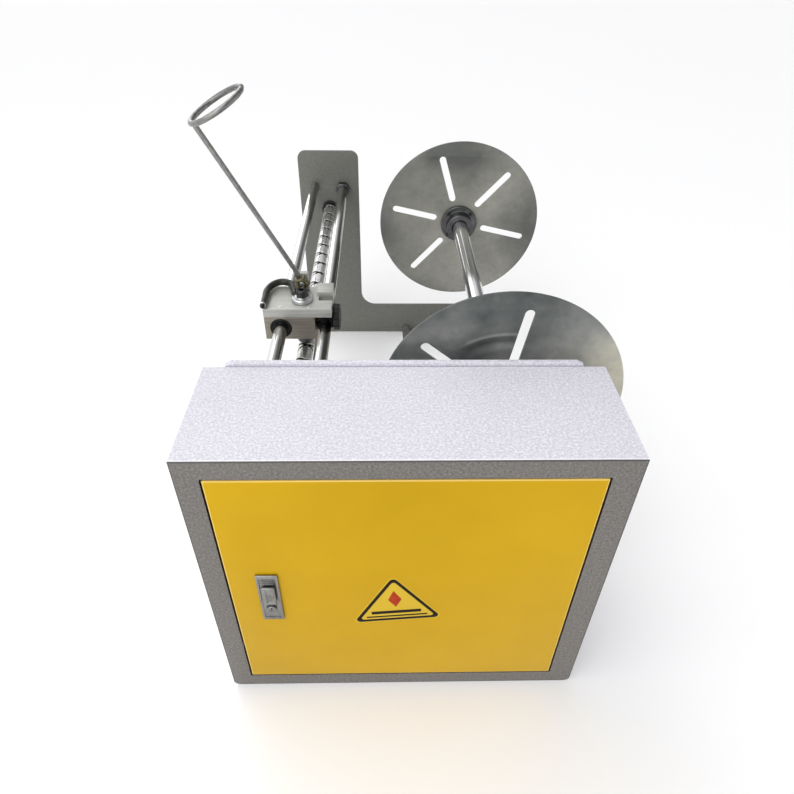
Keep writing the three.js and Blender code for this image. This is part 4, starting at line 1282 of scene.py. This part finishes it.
@stands_for("carriage_plate", ALUMINIUM, "aluminium")
def carriage_top_plate(low, high):
    """Milled top plate with a raised pad and a cross groove at its right-hand rear."""
    slab = soft_block(low, (high.x, high.y, PLATE_TOP), 0.6 * MM)
    pad_front = high.y - 24 * MM
    pad = soft_block((high.x - 20 * MM, pad_front, PLATE_TOP - 1 * MM), high, 0.6 * MM)
    groove = block(
        (high.x - 17 * MM, high.y - 36 * MM, PLATE_TOP - 7 * MM),
        (high.x + 1 * MM, pad_front, PLATE_TOP + 1 * MM))
    bore = drill(PAWL_BORE, centre("pawl_screw"), 0.3, 0.4, "Z")
    return boolean(boolean(slab, pad, operation="UNION"), groove, bore)


@stands_for("carriage_block", BLOCK_METAL, "aluminium")
def carriage_bearing_block(low, high):
    bore = revolve([
        (0, low.y - PAST), (14.5 * MM, low.y - PAST), (13.3 * MM, low.y + 1.0 * MM),
        (13.3 * MM, high.y - 1.0 * MM), (14.5 * MM, high.y + PAST), (0, high.y + PAST)],
        rod_axes[0], "Y", 72)
    pocket = drill(10.3 * MM, pawl_axis, *through(low.z, high.z), "Z", 48)
    return boolean(soft_block(low, high), bore, pocket)


@stands_for("linear_bearing", BLACK, "black_plastic")
def carriage_rod_bearing(low, high):
    """Linear bearing: a sleeve with a lipped seal at each end."""
    outer, bore = 13 * MM, 8.3 * MM
    seal = [
        (bore, 1.5 * MM), (bore + 1.5 * MM, 0.8 * MM), (outer - 2 * MM, 0.8 * MM),
        (outer - 1.6 * MM, 0.0), (outer - 0.5 * MM, 0.0), (outer, 0.5 * MM)]
    profile = [(radius, low.y + inset) for radius, inset in seal]
    profile += [(radius, high.y - inset) for radius, inset in reversed(seal)]
    return revolve(profile, rod_axes[0], "Y", 64, True)


@stands_for("guide_shoe", BLACK, "black_plastic")
def carriage_guide_shoe(low, high):
    channel = drill(9.3 * MM, rod_axes[1], *through(low.y, high.y), "Y", 64)
    bore = drill(2.8 * MM, centre("carriage_knob"), -0.092, -0.08, "X", 24)
    return boolean(soft_block(low, high, 1.0 * MM), channel, bore)


@stands_for("pawl_housing", BLACK_OXIDE, "dark_steel")
def follower_housing(low, high):
    profile = [
        (PAWL_BORE, low.z), (8.2 * MM, low.z), (10 * MM, low.z + 2.5 * MM), (10 * MM, high.z - 0.5 * MM),
        (9.5 * MM, high.z), (PAWL_BORE, high.z)]
    return revolve(profile, pawl_axis, "Z", 56, True)


@stands_for("traverse_pawl", ZINC, "zinc")
def follower_pin(low, high):
    """Swivelling pin that rides in the groove, with chamfered ends."""
    return bar(4.5 * MM, low.z, high.z, pawl_axis, "Z", 40, 1.0 * MM)


@stands_for("release_lever", BLACK_GLOSS, "black_plastic")
def release_lever_hook(low, high):
    """A hooked handle that thins towards its capped tip."""
    z = high.z - LEVER_WIRE
    x_out = low.x + LEVER_WIRE
    path = [
        (pawl_axis.x - 9 * MM, pawl_axis.y + 6 * MM, z), (pawl_axis.x - 12.5 * MM, pawl_axis.y + 20 * MM, z),
        (-139.5 * MM, 273.2 * MM, z), (-151 * MM, 278 * MM, z), (-161.5 * MM, 271 * MM, z),
        (x_out, 256 * MM, z), (x_out, 240 * MM, z), (x_out, 226 * MM, z), (x_out, low.y + 3 * MM, z)]
    widths = [4.0, 4.2, 4.3, 4.3, 4.3, 4.1, 3.7, 3.3, 2.9]
    return tube(path, [width * MM for width in widths], 24)


hub_low = PLATE_TOP + 0.3 * MM
lever_hub = ring(PAWL_BORE, 13 * MM, hub_low, hub_low + 5.2 * MM, pawl_axis, "Z", 64, 0.8 * MM)
piece("release_lever_hub", lever_hub, ZINC, "zinc", body="lever")
lever_low, lever_high = lo("release_lever"), hi("release_lever")
tip_at = (lever_low.x + LEVER_WIRE, 0, lever_high.z - LEVER_WIRE)
lever_ring = ring(
    2.7 * MM, 3.7 * MM, lever_low.y + 5 * MM, lever_low.y + 7.5 * MM, tip_at, "Y", 32, 0.3 * MM)
piece("release_lever_band", lever_ring, ZINC, "zinc", body="lever")


@stands_for("pawl_washer", CHROME, "zinc")
def lever_washer(low, high):
    return ring(4.5 * MM, 8.8 * MM, low.z, high.z, pawl_axis, "Z", 56, 0.25 * MM)


@stands_for("pawl_screw", BLACK_OXIDE, "dark_steel")
def lever_cap_screw(low, high):
    """Socket-head cap screw that holds the lever hub down."""
    seat = hi("pawl_washer").z + 0.3 * MM
    return merged(
        socket_head(6.5 * MM, seat, high.z, pawl_axis, "Z"),
        bar(4 * MM, low.z, seat + 0.5 * MM, pawl_axis, "Z", 32))


def lobed(count, radius, depth, steps):
    """An outline in two axes with smooth lobes."""
    polar = [(radius + depth * math.cos(count * turn), turn) for turn in turns(count * steps)]
    return [(reach * math.cos(turn), reach * math.sin(turn)) for reach, turn in polar]


@stands_for("carriage_knob", BLACK, "black_plastic")
def carriage_grip_knob(low, high):
    """Hand knob: a domed disc with scalloped grip, on its stud."""
    middle = (low + high) / 2
    inner = plate_hi.x + 0.3 * MM
    levels = [
        (0.90, inner), (0.97, inner + 0.6 * MM), (1.0, inner + 2 * MM), (1.0, high.x - 2.6 * MM),
        (0.95, high.x - 1.0 * MM), (0.84, high.x - 0.2 * MM), (0.66, high.x), (0.60, high.x - 0.5 * MM),
        (0.2, high.x - 0.5 * MM)]
    rings = [
        [(x, middle.y + y * scale, middle.z + z * scale) for y, z in lobed(14, 15.9 * MM, 0.6 * MM, 8)]
        for scale, x in levels]
    stud = bar(2.5 * MM, low.x, inner + 1 * MM, middle, "X", 24, 0.3 * MM)
    return merged(skinned(rings, 40), stud)


# cap screws that hold the plate to the block, sunk in counterbores, as (x, y) in mm
CAP_SCREWS = [(-113, 225), (-147, 225)]
cap_screws = [
    socket_head(2.8 * MM, PLATE_TOP - 0.3 * MM, PLATE_TOP + 0.6 * MM, (x * MM, y * MM, 0), "Z")
    for x, y in CAP_SCREWS]
piece("carriage_cap_screws", merged(*cap_screws), ZINC, "zinc", body="carriage")


# ------------------------------------------------------------------ guide arm

arm_eye = centre("arm_stud")
STUD_BORE = 3.3 * MM
ARM_WIRE = 3 * MM
ARM_LEAN = math.radians(28.3)
ARM_LENGTH = 213 * MM
ARM_RING = 32 * MM
RING_TILT = math.radians(5)


@stands_for("clamp_block", ALUMINIUM, "aluminium")
def arm_clamp_block(low, high):
    return boolean(soft_block(low, high, 0.9 * MM), drill(STUD_BORE, arm_eye, *through(low.y, high.y)))


@stands_for("arm_stud", ZINC, "zinc")
def arm_pivot_stud(low, high):
    return merged(
        bar(3 * MM, low.y, high.y - 1 * MM, arm_eye, "Y", 32, 0.5 * MM),
        socket_head(4.6 * MM, high.y - 2.2 * MM, high.y, arm_eye))


@stands_for("guide_arm", WIRE, "arm_wire")
def guide_arm_wire(low, high):
    """One bent wire: an eye round the stud, a straight stem, a sharp fold and an open ring."""
    along = Vector((-math.sin(ARM_LEAN), 0, math.cos(ARM_LEAN)))
    across = Vector((math.cos(ARM_LEAN), 0, math.sin(ARM_LEAN)))
    sideways = Vector((0, math.cos(RING_TILT), 0)) + along * math.sin(RING_TILT)
    eye = Vector((arm_eye.x, hi("arm_knob").y + 0.3 * MM + ARM_WIRE, arm_eye.z))
    top = eye + along * ARM_LENGTH
    middle = top + across * ARM_RING

    def strand(start, end, steps=40):
        """Part of the ring; 180 degrees is at the fold, and +90 is at the back."""
        return tube([
            middle + across * x + sideways * y for x, y in arc(0, 0, ARM_RING, start, end, steps)],
            ARM_WIRE, 28, 2)

    stem = tube([eye + along * 5 * MM, eye + along * 60 * MM, top - along * 30 * MM, top], ARM_WIRE, 28, 6)
    collar = ring(STUD_BORE, 6 * MM, eye.y - 3 * MM, eye.y + 3 * MM, eye, "Y", 48, 0.9 * MM)
    return merged(collar, stem, strand(16, 180), strand(180, 360))


@stands_for("arm_knob", NUT_METAL, "dark_steel")
def arm_lobed_nut(low, high):
    outline = [(arm_eye.x + x, arm_eye.z + z) for x, z in lobed(5, 8.6 * MM, 1.7 * MM, 16)]
    return sheet_plate(outline, [circle(arm_eye, STUD_BORE, 32)], low.y, high.y - low.y, 1.2 * MM)
